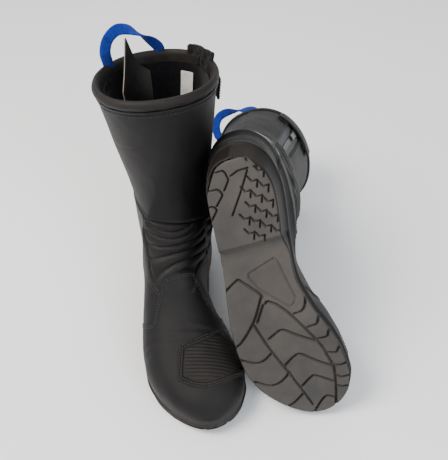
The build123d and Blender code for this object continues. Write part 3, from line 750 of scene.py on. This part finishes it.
relief = relief + 0.5 * soft_noise(leg_base, 42, 11) + 0.18 * soft_noise(leg_base, 15, 12)
crease_line = leg_base[..., 2] - 262 - 0.62 * (leg_base[..., 0] + 30)
relief = relief - 0.35 * np.exp(-(crease_line / 2.2) ** 2) * smoothstep((-10 - leg_base[..., 1]) / 20) * (
    leg_base[..., 0] < -8) * (leg_base[..., 2] < 285)
relief = relief - 0.8 * smoothstep((share[:, None] - 0.965) / 0.03)
leg_skin = lifted(leg_base, relief - 1.1)

EDGE_Z = np.interp(ankle_angles, leg_angles[0], leg_base[0, :, 2], period=360)
under_leg = smoothstep((ankle_base[..., 2] - EDGE_Z + 1.0) / 2.0)
ankle_skin = lifted(ankle_base, (foot_relief(ankle_base) + 0.3) * (1 - under_leg) - 2.0 * under_leg)


def leg_patch(y_front, y_back, share_low, share_high, rows, cols, inset, thick, corner, bulge=0.0):
    """Outer and inner face of a soft patch on the leg's medial side, with rolled edges."""
    v = np.linspace(0, 1, rows)
    h, sl = leg_plane(share_low + (share_high - share_low) * v, PATCH_DROP)
    a0, a1 = angles_of(h, sl, y_back), angles_of(h, sl, y_front)
    w = np.linspace(0, 1, cols)[None]
    base = ring_points(h[:, None], sl[:, None], a0[:, None] + (a1 - a0)[:, None] * w)
    across = np.linalg.norm(base[:, -1] - base[:, 0], axis=1).mean()
    tall = np.linalg.norm(base[-1] - base[0], axis=1).mean()
    dx = np.minimum(w, 1 - w) * across + 0 * v[:, None]
    dz = np.minimum(v, 1 - v)[:, None] * tall + 0 * w
    # the outline's corners are rounded by pulling grid points towards the middle
    middle = base[rows // 2, cols // 2]
    cx, cz = np.clip(corner - dx, 0, None), np.clip(corner - dz, 0, None)
    reach_out = np.maximum(np.hypot(cx, cz), 1e-6)
    pull = np.clip(reach_out - corner, 0, None)
    to_middle = middle - base
    to_middle /= np.maximum(np.linalg.norm(to_middle, axis=-1), 1e-6)[..., None]
    base = drop(base + to_middle * pull[..., None], 3)
    near = np.minimum(dx, dz)
    roll = np.sqrt(1 - (1 - np.clip(near / 1.2, 0, 1)) ** 2)
    swell = bulge * smoothstep(near / 8.0)
    outer = lifted(base, -inset + (roll - 1) * thick / 2 + swell)
    inner = lifted(base, -inset - thick - (roll - 1) * thick / 2)
    return outer, inner


# ---------------------------------------------------------------- sole
FOREFOOT_LINES = 19   # the first lines lie under the forefoot and are curved; the rest are straight
TREAD_LINES = [
    [(142, -51), (133, -35), (134, -31), (153, -15), (158, -17), (180, -31), (199, -50), (203, -60)],
    [(163, -13), (162, -9), (176, 5), (218, 27), (237, 32), (249, 35)],
    [(164, -16), (181, -27)],
    [(184, -31), (211, -24), (243, -13), (269, -5), (293, 1)],
    [(202, -21), (196, -9), (196, -3), (204, 7), (216, 25)],
    [(236, -14), (228, -2), (227, 6), (238, 19), (250, 35)],
    [(265, -3), (257, 8), (256, 14), (268, 30)],
    [(303, 0), (289, 12), (285, 19), (289, 26)],
    [(216, -59), (225, -44), (225, -34), (219, -24)],
    [(247, -50), (256, -35), (254, -23), (245, -11)],
    [(288, -28), (285, -18), (276, -6)],
    [(249, 35), (273, 31), (302, 24)],
    [(161, 29), (174, 25), (180, 20), (181, 12)], [(180, 38), (192, 34), (198, 30), (199, 21)],
    [(199, 47), (209, 40), (214, 37), (214, 28)], [(222, 51), (231, 44), (234, 41), (232, 33)],
    [(246, 52), (250, 43), (247, 33)], [(264, 50), (265, 40), (261, 34)], [(277, 46), (277, 37), (274, 32)],
    [(-2, -8), (17, -21), (32, -31), (50, -43)],
    [(18, -36), (19, -24), (20, -21), (20, -13), (23, -11), (30, -10), (39, -17)],
    [(35, -42), (35, -33), (36, -31), (36, -24), (39, -21), (43, -20), (52, -29)],
    [(52, -45), (51, -34), (53, -31), (56, -30), (72, -45)],
    [(24, 11), (24, 1), (26, -4), (27, -7)], [(26, 10), (43, -1), (65, -17)],
    [(-2, 11), (3, 11), (17, 12)], [(13, 20), (19, 20), (28, 19)],
]
for s0, across in [(24.0, 17.0), (32.0, 8.0), (40.0, -1.0), (66.0, -10.0)]:
    while s0 < 90:
        hook = [(s0, across), (s0 + 6, across + 3.2), (s0 + 5.8, across + 8.6), (s0 + 12.6, across + 6.2)]
        TREAD_LINES.append(hook)
        s0 += 15.6


def groove_depth(s, x):
    """How far grooves cut into the tread at places on the sole."""
    flat = np.stack([s, x], -1)
    d = np.full(s.shape, 99.0)
    for k, points in enumerate(TREAD_LINES):
        straight = k >= FOREFOOT_LINES
        line = np.array(points, float) if straight else curve(points, step=2.0)
        lo, hi = line.min(0) - 4, line.max(0) + 4
        near = (s > lo[0]) & (s < hi[0]) & (x > lo[1]) & (x < hi[1])
        if near.any():
            d[near] = np.minimum(d[near], line_distance(flat[near], line) + (0.4 if straight else 0.0))
    return 4.4 * (1 - smoothstep((d - 0.8) / 0.7))


def rounded_under(s):
    """The sole's underside with its heel breast."""
    return np.interp(s, [r[0] for r in UNDERSIDE], [r[1] for r in UNDERSIDE])


def tread_inset(s):
    """How far the tread's edge lies inside the sole's widest line, at the sides."""
    return 1.6 + 6.0 * smoothstep((122 - s) / 26)


def sole_bottom():
    """The underside with its grooves, rolled edge and waist field, closer rows at heel and toe."""
    rows, cols = shell_fine(360, 150)
    eased = 0.5 - 0.5 * np.cos(np.pi * np.linspace(0.0, 1, rows) * 0.999 + 0.0005)
    s = SOLE_LENGTH * eased * 0.35 + 0.65 * np.linspace(0.02, 304.9, rows)
    s = 12.1 + s * (292.7 / 304.95)
    s = np.sort(s)[:, None]
    w = np.linspace(-1, 1, cols)[None]
    plan = plan_at(s[:, 0] - 12.0 * smoothstep((60 - s[:, 0]) / 60))
    taper = smoothstep((s - 8) / 16) * smoothstep((300 - s) / 30)
    low, high = plan[:, :1] + 1.0 * taper, plan[:, 1:] - tread_inset(s) * taper
    half = np.maximum((high - low) / 2, 0.5)
    x = (low + high) / 2 + half * w
    z = rounded_under(s) + 0 * w
    edge = np.minimum((1 - np.abs(w)) * half, np.minimum(s - 12, SOLE_LENGTH - s) * 0.8)
    edge = np.clip(edge, 0, None)
    roll = 1.6 * (1 - np.sqrt(1 - (1 - np.clip(edge / 1.6, 0, 1)) ** 2))
    s2 = s + 0 * w
    z = z + groove_depth(s2, x) + roll
    # a fine-textured recess in the waist
    flat = np.stack([s2, x], -1)
    waist = [(129, -21), (120, 8), (124, 11), (165, 18), (171, 14), (173, 10), (149, -14), (133, -22)]
    closed = np.array(waist + waist[:1], float)
    d = line_distance(flat, closed)
    stipple = 1.1 * smoothstep(d / 0.8) + 0.4 * np.sin(s2 * 2.2) * np.sin(x * 2.2)
    z = z + np.where(within(flat, waist), stipple, 0.0)
    z = z + 2.0 * np.exp(-(d / 0.7) ** 2)
    z = z + 0.5 * np.exp(-((s2 - 110) / 5.0) ** 2)
    return np.stack([x, HEEL_BACK - s2, z], -1)


def sole_outline(count):
    """Even points round the sole's plan, from the heel's back by the lateral side to the toe and back."""
    t = np.linspace(0, 1, 700)
    s = SOLE_LENGTH * (0.5 - 0.5 * np.cos(np.pi * t))
    plan = plan_at(s)
    lateral = np.stack([plan[:, 0], HEEL_BACK - s], -1)
    medial = np.stack([plan[:, 1], HEEL_BACK - s], -1)[::-1]
    loop = np.vstack([lateral, medial, lateral[:1]])
    at = run_along(loop)
    return sampled(loop, at, np.linspace(0, at[-1], count, endpoint=False))


def sole_wall(profile, count=620):
    """A wall round the sole; profile is rows of (share of height, millimetres outwards)."""
    loop = sole_outline(int(count / FINE))
    along = np.roll(loop, -3, axis=0) - np.roll(loop, 3, axis=0)
    out = unit(np.stack([-along[:, 1], along[:, 0]], -1))
    if ((loop - loop.mean(0)) * out).sum() < 0:
        out = -out
    s = HEEL_BACK - loop[:, 1]
    low, high = rounded_under(s), sole_top(s)
    at = curve([(a * 100, b) for a, b in profile], count=int(44 / FINE))
    levels = []
    for percent, push in at:
        k = percent / 100
        inset = 1.0 + (tread_inset(s) - 1.0) * smoothstep((out[:, 0] + 0.4) / 0.8)
        inset = inset + 9.0 * np.clip(out[:, 1], 0, 1) ** 2
        inset = inset * np.where(s > 250, 0.6, 1.0) * np.clip(1 - k / 0.82, 0, 1)
        xy = loop + out * (push - inset)[:, None]
        levels.append(np.stack([xy[:, 0], xy[:, 1], low + (high - low) * k], -1))
    return np.array(levels)


bottom = sole_bottom()
wall = sole_wall([
    (0.16, -3.6), (0.05, -0.8), (0.12, 0.2), (0.22, -0.3), (0.5, -0.9), (0.72, -0.7), (0.80, 0.5),
    (0.86, 1.0), (0.93, 0.9), (1.02, -0.4), (1.04, -4.0),
])
# the top rows of the wall, the sole cup's lip, get the lighter rubber as a painted highlight
lip_highlight_from = int(len(wall) * 0.78)
lip_highlight_rows, wall_rows = wall[lip_highlight_from:], wall[:lip_highlight_from + 1]

# ---------------------------------------------------------------- collar, lining, loop
cols = int(400 / FINE)
# the padded rim's section: millimetres down from the rim, millimetres inwards
collar_profile = curve([
    (11.6, 0.6), (10.2, -0.6), (8.6, -1.8), (6.4, -2.5), (3.9, -2.2), (1.6, -0.9), (0.2, 1.2), (0.5, 3.6),
    (3, 5.4), (7, 6.2), (11, 6.6), (15, 6.9), (20, 7.0),
], count=int(46 / FINE))
rings = []
for drop_, inset in collar_profile:
    plane_h, plane_s = np.array([RIM_MIDDLE - drop_]), np.array([-RIM_LEAN])
    a0 = angles_of(plane_h, plane_s, ZIP_Y - SLOT_HALF + 1.5)[0]
    a1 = 360 + angles_of(plane_h, plane_s, ZIP_Y + SLOT_HALF - 1.5)[0]
    ring = ring_points(plane_h[0], plane_s[0], np.linspace(a0, a1, cols))
    n = outwards(ring)
    n[:, 2] = 0
    n = unit(n)
    end = np.minimum(np.arange(cols), np.arange(cols)[::-1]) / cols * 380
    plump = np.sqrt(1 - (1 - np.clip(end / 4.0, 0, 1)) ** 2)
    wave = 0.28 * np.sin(np.linspace(0, 130, cols)) * np.exp(-((drop_ - 10.5) / 3) ** 2)
    broad = 0.45 * soft_noise(ring, 30, 21)
    middle_inset = 2.4
    spread_out = (inset - middle_inset) * (0.25 + 0.75 * plump) + middle_inset - wave
    spread_out = spread_out - broad * np.exp(-((drop_ - 6) / 6) ** 2)
    ring = ring - n * spread_out[:, None]
    ring[:, 2] += 0.5 * soft_noise(ring, 34, 22) * np.exp(-(drop_ / 6.0) ** 2)
    rings.append(ring)
collar_skin = np.array(rings)

lining_rows, lining_cols = shell_fine(120, 260)
share = np.linspace(0, 1, lining_rows)
lin_h = np.interp(share, [0, 0.25, 1], [44.0, 100.0, RIM_MIDDLE - 12])
lin_s = np.interp(share, [0, 0.25, 0.4, 1], [0.0, -0.03, -0.22, -RIM_LEAN])
round_leg = np.linspace(-90, 270, lining_cols)[None]
lining_base = ring_points(lin_h[:, None], lin_s[:, None], round_leg + 0 * share[:, None])
seams = 0.0
for at_angle in (28.0, 118.0, 205.0, 268.0):
    seams = seams + np.exp(-((round_leg - at_angle) / 1.2) ** 2)
lining_skin = lifted(lining_base, -7.3 - 0.5 * soft_noise(lining_base, 22, 31) + 0.5 * seams)

loop_low, loop_high = [np.array([x, y, RIM_MIDDLE - RIM_LEAN * y]) for x, y in LOOP_ENDS]
chord = loop_high - loop_low
half = np.linalg.norm(chord) / 2
chord /= np.linalg.norm(chord)
side_way = np.cross(chord, [0, 0, 1.0])
side_way /= np.linalg.norm(side_way)
rise_way = np.cross(side_way, chord)
middle = (loop_low + loop_high) / 2
# the strap's line: share of half the chord, rise and sideways in millimetres, twist in degrees
path = curve([
    (-0.80, -9, 0.0, -6), (-0.84, 2, 0.0, 2), (-0.88, 14, 0.0, 14), (-0.74, 26, -1.0, 14),
    (-0.44, 33, -1.5, 24), (-0.10, 31, -1.0, 48), (0.22, 24, 0.0, 88), (0.5, 16, 0.5, 132),
    (0.74, 7, 0.0, 160), (0.84, 1, 0.0, 160), (0.86, -9, 0.0, 158),
], count=int(150 / FINE))
STRAP_HALF_WIDE, STRAP_HALF_THICK = 5.9, 0.85


def pull_loop(lean):
    """The twisted webbing strap on its chord, flopped backwards by lean degrees."""
    c, k = math.cos(math.radians(lean)), math.sin(math.radians(lean))
    rise, level = rise_way * c - side_way * k, side_way * c + rise_way * k
    line = middle + path[:, :1] * half * chord + path[:, 1:2] * rise + path[:, 2:3] * level
    heading = unit(np.gradient(line, axis=0))
    twist = np.radians(path[:, 3])[:, None]
    flat_way = unit(np.cross(heading, level))
    width_way = flat_way * np.cos(twist) + level * np.sin(twist)
    face_way = np.cross(width_way, heading)
    section = np.array([(-1, 0), (-0.97, 0.8), (-0.6, 1), (0, 1), (0.6, 1), (0.97, 0.8), (1, 0), (0.97, -0.8),
                        (0.6, -1), (0, -1), (-0.6, -1), (-0.97, -0.8)])
    return (line[:, None] + width_way[:, None] * section[None, :, :1] * STRAP_HALF_WIDE
            + face_way[:, None] * section[None, :, 1:] * STRAP_HALF_THICK), rise


# ---------------------------------------------------------------- shift pad
PAD = {
    "top": [(-16, -156, 67), (8, -148.5, 69), (31, -138.6, 63)],
    "medial": [(31, -138.6, 63), (45, -155, 45), (50, -184, 36)],
    "low": [(-22.4, -192, 56), (-8, -202, 55), (9, -206, 54), (29.4, -201, 51), (50, -184, 36)],
    "lateral": [(-16, -156, 67), (-19.5, -173, 61.7), (-22.4, -192, 56)],
}


def to_chart(points, count):
    """A line on the forefoot as (angle round the foot, Y)."""
    p = drop(curve(points, count=count))
    return np.stack([front_angle(p), p[:, 1]], -1)


pad_rows, pad_cols = int(90 / FINE), int(120 / FINE)
top_edge, low_edge = to_chart(PAD["top"], pad_cols), to_chart(PAD["low"], pad_cols)
left_edge, right_edge = to_chart(PAD["lateral"], pad_rows), to_chart(PAD["medial"], pad_rows)
v = np.linspace(0, 1, pad_rows)[:, None, None]
u = np.linspace(0, 1, pad_cols)[None, :, None]
# a patch spanned between its four edges
chart = ((1 - v) * top_edge[None] + v * low_edge[None]
         + (1 - u) * left_edge[:, None] + u * right_edge[:, None]
         - (1 - u) * (1 - v) * top_edge[0] - u * (1 - v) * top_edge[-1]
         - (1 - u) * v * low_edge[0] - u * v * low_edge[-1])


def on_front(chart):
    """Points of the forefoot's surface from its chart."""
    a, y = np.radians(chart[..., 0]), chart[..., 1]
    s = HEEL_BACK - y
    origin = np.stack([plan_at(s).mean(-1), y, sole_top(s) + 1.0], -1)
    return reach(origin, np.stack([np.cos(a), 0 * a, np.sin(a)], -1))


pad_base = on_front(chart)
pad_outline = np.vstack([pad_base[0], pad_base[:, -1], pad_base[-1, ::-1], pad_base[::-1, 0]])
pad_inside = line_distance(pad_base, pad_outline[::2])
roll = np.sqrt(1 - (1 - np.clip(pad_inside / 1.3, 0, 1)) ** 2)
ridge_at = (pad_base[..., 1] + 0.16 * pad_base[..., 0]) / 3.9
ridges = 0.6 * np.abs(np.sin(np.pi * ridge_at)) ** 0.8
field = smoothstep((pad_inside - 7.2) / 1.0)
welt = (0.7 * np.exp(-((pad_inside - 4.7) / 1.1) ** 2) - 0.8 * np.exp(-((pad_inside - 2.7) / 0.6) ** 2)
        - 0.8 * np.exp(-((pad_inside - 6.8) / 0.6) ** 2))
pad_skin = lifted(pad_base, foot_relief(pad_base) - 0.5 + 1.5 * roll + welt + field * (ridges - 0.25))

# ---------------------------------------------------------------- reflector, closure, small things


def heel_points(height, slope, share):
    """Surface points round the heel; share -1 to 1 is a whole turn, 0 is at the back."""
    turned = np.pi * share
    way = np.stack([np.sin(turned), np.cos(turned), slope * np.cos(turned)], -1)
    origin = np.stack([0 * turned, 20 + 0 * turned, height + slope * 20], -1)
    return reach(origin, way)


r_rows, r_cols = int(22 / FINE) + 6, int(110 / FINE)
r_share = np.linspace(-0.345, 0.345, r_cols)[None]
r_v = np.linspace(-1, 1, r_rows)[:, None]
tall = 6.4 * np.sqrt(np.clip(1 - (r_share / 0.35) ** 2, 0.0, 1)) ** 1.2
reflector_base = heel_points(81.5 + r_v * tall, -0.005 + 0 * r_v * r_share, r_share + 0 * r_v)
r_roll = np.sqrt(np.clip(1 - np.abs(r_v) ** 6, 0, 1))
reflector_skin = lifted(reflector_base, 1.0 + 0.9 * r_roll + 0 * r_share)

tab_outer, tab_inner = leg_patch(-8, 56, 0.82, 0.985, int(48 / FINE), int(84 / FINE), -4.6, 2.0, 8.0, 0.5)
tape_outer, tape_inner = leg_patch(14, 46, 0.10, 0.97, int(130 / FINE), int(34 / FINE), 2.5, 1.1, 1.0)
ruffle_outer, ruffle_inner = leg_patch(14, 58, 0.90, 1.12, int(60 / FINE), int(70 / FINE), 0.6, 3.6, 5.0)
ruffle_fold = 1.5 * soft_noise(ruffle_outer, 7.0, 41) + 0.8 * soft_noise(ruffle_outer, 3.2, 42)
ruffle_outer, ruffle_inner = lifted(ruffle_outer, ruffle_fold), lifted(ruffle_inner, 0.8 * ruffle_fold)
loop_patch = leg_patch(44, 54, 0.83, 0.96, int(60 / FINE), int(30 / FINE), -1.35, 0.8, 2.0)
hook_patch = leg_patch(45, 53, 0.84, 0.95, int(60 / FINE), int(30 / FINE), -2.35, 0.7, 2.0)
rng = np.random.RandomState(5)
loop_patch = [p + 0.25 * rng.normal(size=p.shape) for p in loop_patch]
hook_patch = [p + 0.2 * rng.normal(size=p.shape) for p in hook_patch]


bed_rows, bed_cols = shell_fine(150, 60)
bed_s = np.linspace(9, 295, bed_rows)[:, None]
bed_w = np.linspace(-1, 1, bed_cols)[None]
bed_plan = plan_at(bed_s[:, 0])
bed_half = np.clip((bed_plan[:, 1:] - bed_plan[:, :1]) / 2 - 10.4, 1.5, None)
bed_x = (bed_plan[:, :1] + bed_plan[:, 1:]) / 2 + bed_half * bed_w
cup = 1.6 * np.abs(bed_w) ** 3 * smoothstep((140 - bed_s) / 90)
bed_z = sole_top(bed_s) + 6.5 + cup + 0.15 * np.sin(bed_s * 1.1) * np.sin(bed_x * 1.1)
footbed_skin = np.stack([bed_x, HEEL_BACK - bed_s + 0 * bed_x, bed_z], -1)

rim_h, rim_s = RIM_MIDDLE - 11.8, -RIM_LEAN
around = np.linspace(slot_front[-1] + 1, 359 + slot_back[-1], int(380 / FINE))
pipe_line = ring_points(rim_h, rim_s, around)
pipe_up = outwards(pipe_line)
piping_part = tube(pipe_line + pipe_up * 0.7, 1.1, 10)



def sewn(line, lift, pitch, length, radius):
    """Stitches along a line that already lies on the surface."""
    normal = outwards(line)
    return stitches(line + normal * lift, normal, pitch, length, radius)


around = np.linspace(slot_front[-1] + 6, 354 + slot_back[-1], 420)
collar_stitches = sewn(ring_points(RIM_MIDDLE - 17.0, -RIM_LEAN, around), 0.35, 3.6, 2.5, 0.4)
shin_stitches = []
for above, lift in ((3.0, 0.35), (5.4, 0.3)):
    shin_stitches += sewn(leg_base[int(above / 156 * len(leg_base))], lift, 3.0, 2.1, 0.34)
side = side_line([(SIDE_SEAM, z) for z in np.linspace(142, 287, 12)], False)
side_stitches = seam(side, (-2.2, -4.4) if drop(side)[0, 0] > 0 else (2.2, 4.4), 0.45)
zip_stitches = []
for y_at in (ZIP_Y - SLOT_HALF - 2.4, ZIP_Y + SLOT_HALF + 2.4):
    zip_stitches += seam(side_line([(y_at, z) for z in np.linspace(174, 290, 10)], True), (0.0,), 0.4)
foot_stitches = seam(VAMP_EDGE, (-2.3, -4.6), 1.72, pitch=3.2)
foot_stitches += seam(MEDIAL_EDGE, (-2.2, -4.4), 1.3)
for line, way in zip(COUNTER_LINES, (1, -1)):
    foot_stitches += seam(line, (1.7 * way, 3.8 * way), 1.45)
lateral_part = LATERAL_EDGE[(LATERAL_EDGE[:, 2] < 156)]
ankle_stitches = seam(lateral_part, (2.0, 4.2), 1.3)
for level in RIB_LINES[1:]:
    x_at = np.linspace(-34, 33, 60)
    z_at = 137.0 + (level - 137.0) * (1 + 1.0 * np.clip(np.abs(x_at) / 36.0, 0, 1.15) ** 2)
    origin = np.stack([x_at, 0 * x_at, z_at], -1)
    line = reach(origin, np.broadcast_to([0.0, -1.0, 0.0], origin.shape))
    edge_z = np.interp(-line[:, 1], [0, 200], [145, 145 + 0.252 * 200]) - 0.26 * x_at
    line = line[line[:, 2] < edge_z - 2]
    if len(line) > 8:
        ankle_stitches += sewn(line, 0.1, 2.6, 1.7, 0.3)
pad_stitches = []
pad_loop = np.vstack([outline(pad_base), pad_base[:1, 0]])
pad_centre = pad_base[pad_rows // 2, pad_cols // 2]
for inward in (2.6, 4.9):
    scale = 1 - inward / np.linalg.norm(pad_loop - pad_centre, axis=1)
    line = drop(pad_centre + (pad_loop - pad_centre) * scale[:, None])
    pad_stitches += sewn(line, 2.65 + 0.25 * (inward > 4), 3.2, 2.2, 0.4)
k = int(4 / FINE)
tab_line = np.vstack([
    tab_outer[k, k:-k], tab_outer[k + 1:-k, -k - 1],
    tab_outer[-k - 1, -k - 2:k:-1], tab_outer[-k - 2:k:-1, k],
])
tab_up = outwards(drop(tab_line))
tab_stitches = stitches(tab_line + tab_up * 0.15, tab_up, 3.2, 2.2, 0.38)

# the display sheet: height, left edge and right edge along its width; then how far it is turned,
# where its middle stands, and half its thickness
SHAPER = np.array([(96, -13, 13), (200, -20, 22), (292, -24, 24), (312, -17.3, 2), (344, -8.6, -7.4)], float)
SHEET_TURN, SHEET_AT, SHEET_HALF_THICK = math.radians(52), np.array([-19.0, 18.0, 0.0]), 0.6
sh_z = np.linspace(SHAPER[0, 0], SHAPER[-1, 0], int(150 / FINE))
sh_l, sh_r = np.interp(sh_z, SHAPER[:, 0], SHAPER[:, 1]), np.interp(sh_z, SHAPER[:, 0], SHAPER[:, 2])
sh_w = sh_l[:, None] + (sh_r - sh_l)[:, None] * np.linspace(0, 1, 40)[None]
sheet_along = np.array([math.cos(SHEET_TURN), math.sin(SHEET_TURN), 0.0])
sheet_normal = np.array([-sheet_along[1], sheet_along[0], 0.0])
bow = 1.4 * (sh_w / 24.0) ** 2 + 0.5 * np.sin(sh_z / 30.0)[:, None]
sheet_mid = SHEET_AT + sh_w[..., None] * sheet_along + bow[..., None] * sheet_normal
sheet_mid[..., 2] += sh_z[:, None]
sheet_out = sheet_mid - sheet_normal * SHEET_HALF_THICK
sheet_in = sheet_mid + sheet_normal * SHEET_HALF_THICK
sheet_parts = closed_pair(sheet_out, sheet_in)
label_outer, label_inner = leg_patch(45, 61, 0.68, 0.93, 40, 40, 8.6, 0.5, 1.0)

# ---------------------------------------------------------------- the pieces
def mat(name):
    """A look's material and the slot that it fills."""
    return MAT[name], SLOT_OF[name]


for side_name in ("right", "left"):
    foot, leg, tab = f"{side_name}_foot", f"{side_name}_leg", f"{side_name}_tab"

    def piece(name, parts, look, body, stands_for=(), blended=None, outward=True, smooth=True):
        """One piece of this boot: on a body, or left unattached with its transform baked where body is None
        or blended is set.
        """
        obj = make(side_name, name, parts, *mat(look), outward=outward, smooth=smooth)
        if blended:
            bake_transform(obj)
        elif body is None:
            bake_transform(obj)
        else:
            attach(obj, body)
        if stands_for:
            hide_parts(*[f"{side_name}_{n}" for n in stands_for])
        return obj

    piece("vamp_skin", [grid(front_skin, keep=FRONT_KEEP)], "black_leather", foot, ("vamp",))
    piece("quarter_skin", [grid(rear_skin, keep=REAR_KEEP)], "black_leather", foot,
          ("medial_quarter", "lateral_quarter"))
    flex = piece("flex_zone_skin", [grid(ankle_skin)], "flex_leather", None, ("flex_panel", "gusset"))
    piece("leg_skin", [grid(leg_skin)], "black_leather", leg, ("shin_panel", "calf_panel"))
    piece("collar_roll", [grid(collar_skin)], "collar_leather", leg, ("collar",))
    piece("collar_piping", [piping_part], "piping", leg)
    piece("lining_skin", [grid(lining_skin)], "lining_textile", None,
          ("leg_lining", "ankle_lining", "foot_lining"), outward=False)
    pad = piece("shift_pad_skin", [grid(pad_skin)], "pad_leather", foot, ("shift_pad",), outward=False)
    piece("reflector_skin", [grid(reflector_skin)], "reflective_strip", foot, ("reflector",))
    piece("tread_skin", [grid(bottom)], "tread_rubber", foot, ("outsole",))
    piece("sole_wall_skin", [grid(wall_rows, wrap=True)], "midsole_rubber", foot, ("midsole",))
    # the sole's lip in the lighter rubber: painted highlight
    piece("welt_skin", [grid(lip_highlight_rows, wrap=True)], "welt_rubber", foot)
    piece("footbed_skin", [grid(footbed_skin)], "footbed_foam", foot, ("footbed",))
    piece("closure_tab_skin", closed_pair(tab_outer, tab_inner), "black_leather", tab, ("closure_tab",))
    piece("closure_tab_stitches", tab_stitches, "thread", tab)
    piece("hook_patch_skin", closed_pair(*hook_patch), "hook_and_loop", tab, ("hook_patch",))
    piece("loop_patch_skin", closed_pair(*loop_patch), "hook_and_loop", leg, ("loop_patch",))
    piece("zip_tape_skin", closed_pair(tape_outer, tape_inner), "zip_fabric", leg, ("zip_tape",))
    piece("closure_gusset_skin", closed_pair(ruffle_outer, ruffle_inner), "gusset_textile", leg)
    loop_skin, loop_rise = pull_loop(LOOP_LEAN[side_name])
    low_end = Vector(place(side_name, middle + loop_rise * -6))
    high_end = Vector(place(side_name, middle + loop_rise * 5))
    piece("pull_loop_skin", [grid(loop_skin, wrap=True)], "blue_webbing", None, ("pull_loop",),
          blended=(leg, f"{side_name}_loop", low_end, high_end))
    piece("leg_stitches", collar_stitches + shin_stitches + side_stitches + zip_stitches, "thread", leg)
    piece("foot_stitches", foot_stitches + pad_stitches, "thread", foot)
    piece("ankle_stitches", ankle_stitches, "thread", None)
    if side_name == "right":
        piece("leg_shaper_skin", sheet_parts[:2], "shaper_sheet", "leg_shaper", ("leg_shaper",))
        # the sheet's edge strip in the lighter plastic: painted highlight
        piece("leg_shaper_edge", sheet_parts[2:], "cut_edge", "leg_shaper", smooth=False)
        label_parts = closed_pair(label_outer, label_inner)
        label = piece("care_label_skin", label_parts, "label_cloth", leg, ("care_label",))

# the hard pieces of the CAD model that show themselves; all others are moulded plastic
CAD_LOOKS = {
    "insole_board": "fibre_board", "shank": "shank_steel",
    "zip_teeth": "zip_metal", "zip_slider": "zip_metal", "zip_puller": "zip_metal",
}
for name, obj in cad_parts.items():
    if obj.hide_render:
        continue
    look = CAD_LOOKS.get(name.split("_", 1)[1], "stiffener_plastic")
    obj.data.materials.clear()
    obj.data.materials.append(MAT[look])

# ---------------------------------------------------------------- floor, light and camera
floor_mesh = bpy.data.meshes.new("floor")
floor_corners = [(x, y, -0.0005) for x, y in ((-6, -6), (6, -6), (6, 6), (-6, 6))]
floor_mesh.from_pydata(floor_corners, [], [(0, 1, 2, 3)])
floor = bpy.data.objects.new("floor", floor_mesh)
bpy.context.scene.collection.objects.link(floor)
floor_material, _, floor_shader = new_material("pale_floor")
floor_shader.inputs["Base Color"].default_value = (0.93, 0.93, 0.93, 1)
floor_shader.inputs["Roughness"].default_value = 0.9
floor_mesh.materials.append(floor_material)


def lamp(name, place_at, look_at, size, power, colour):
    """A rectangular lamp that looks at a point."""
    data = bpy.data.lights.new(name, "AREA")
    data.shape = "RECTANGLE"
    data.size, data.size_y = size
    data.energy = power
    data.color = colour
    obj = bpy.data.objects.new(name, data)
    obj.location = place_at
    obj.rotation_euler = (Vector(look_at) - Vector(place_at)).to_track_quat("-Z", "Y").to_euler()
    bpy.context.scene.collection.objects.link(obj)


lamp("key", (-0.75, -0.35, 1.45), (-0.02, -0.03, 0.12), (0.7, 0.7), 32, (1.0, 0.94, 0.88))
lamp("window", (0.75, -1.35, 1.1), (0, -0.1, 0.08), (0.8, 0.6), 15, (0.82, 0.91, 1.0))
lamp("back", (0.4, 1.4, 1.5), (0, 0, 0.2), (1.4, 0.7), 5, (1.0, 0.98, 0.96))
world = bpy.data.worlds.new("studio")
world.use_nodes = True
world.node_tree.nodes["Background"].inputs["Color"].default_value = (0.95, 0.97, 1.0, 1)
world.node_tree.nodes["Background"].inputs["Strength"].default_value = 0.85
bpy.context.scene.world = world

CAMERA_RISE, CAMERA_ROLL, CAMERA_AWAY = math.radians(43.93), math.radians(-4.49), 0.7825
target = np.array([0.0565, 0.0, 0.0849])
back = np.array([0.0, -math.cos(CAMERA_RISE), math.sin(CAMERA_RISE)])
across = np.array([1.0, 0.0, 0.0])
upward = np.cross(back, across)
x_way = across * math.cos(CAMERA_ROLL) + upward * math.sin(CAMERA_ROLL)
y_way = -across * math.sin(CAMERA_ROLL) + upward * math.cos(CAMERA_ROLL)
camera_data = bpy.data.cameras.new("camera")
camera_data.lens, camera_data.sensor_width = 49.17, 36.0
camera_data.clip_start = 0.01
camera = bpy.data.objects.new("camera", camera_data)
eye = target + back * CAMERA_AWAY
camera.matrix_world = Matrix([[x_way[k], y_way[k], back[k], eye[k]] for k in range(3)] + [[0, 0, 0, 1]])
bpy.context.scene.collection.objects.link(camera)
bpy.context.scene.camera = camera
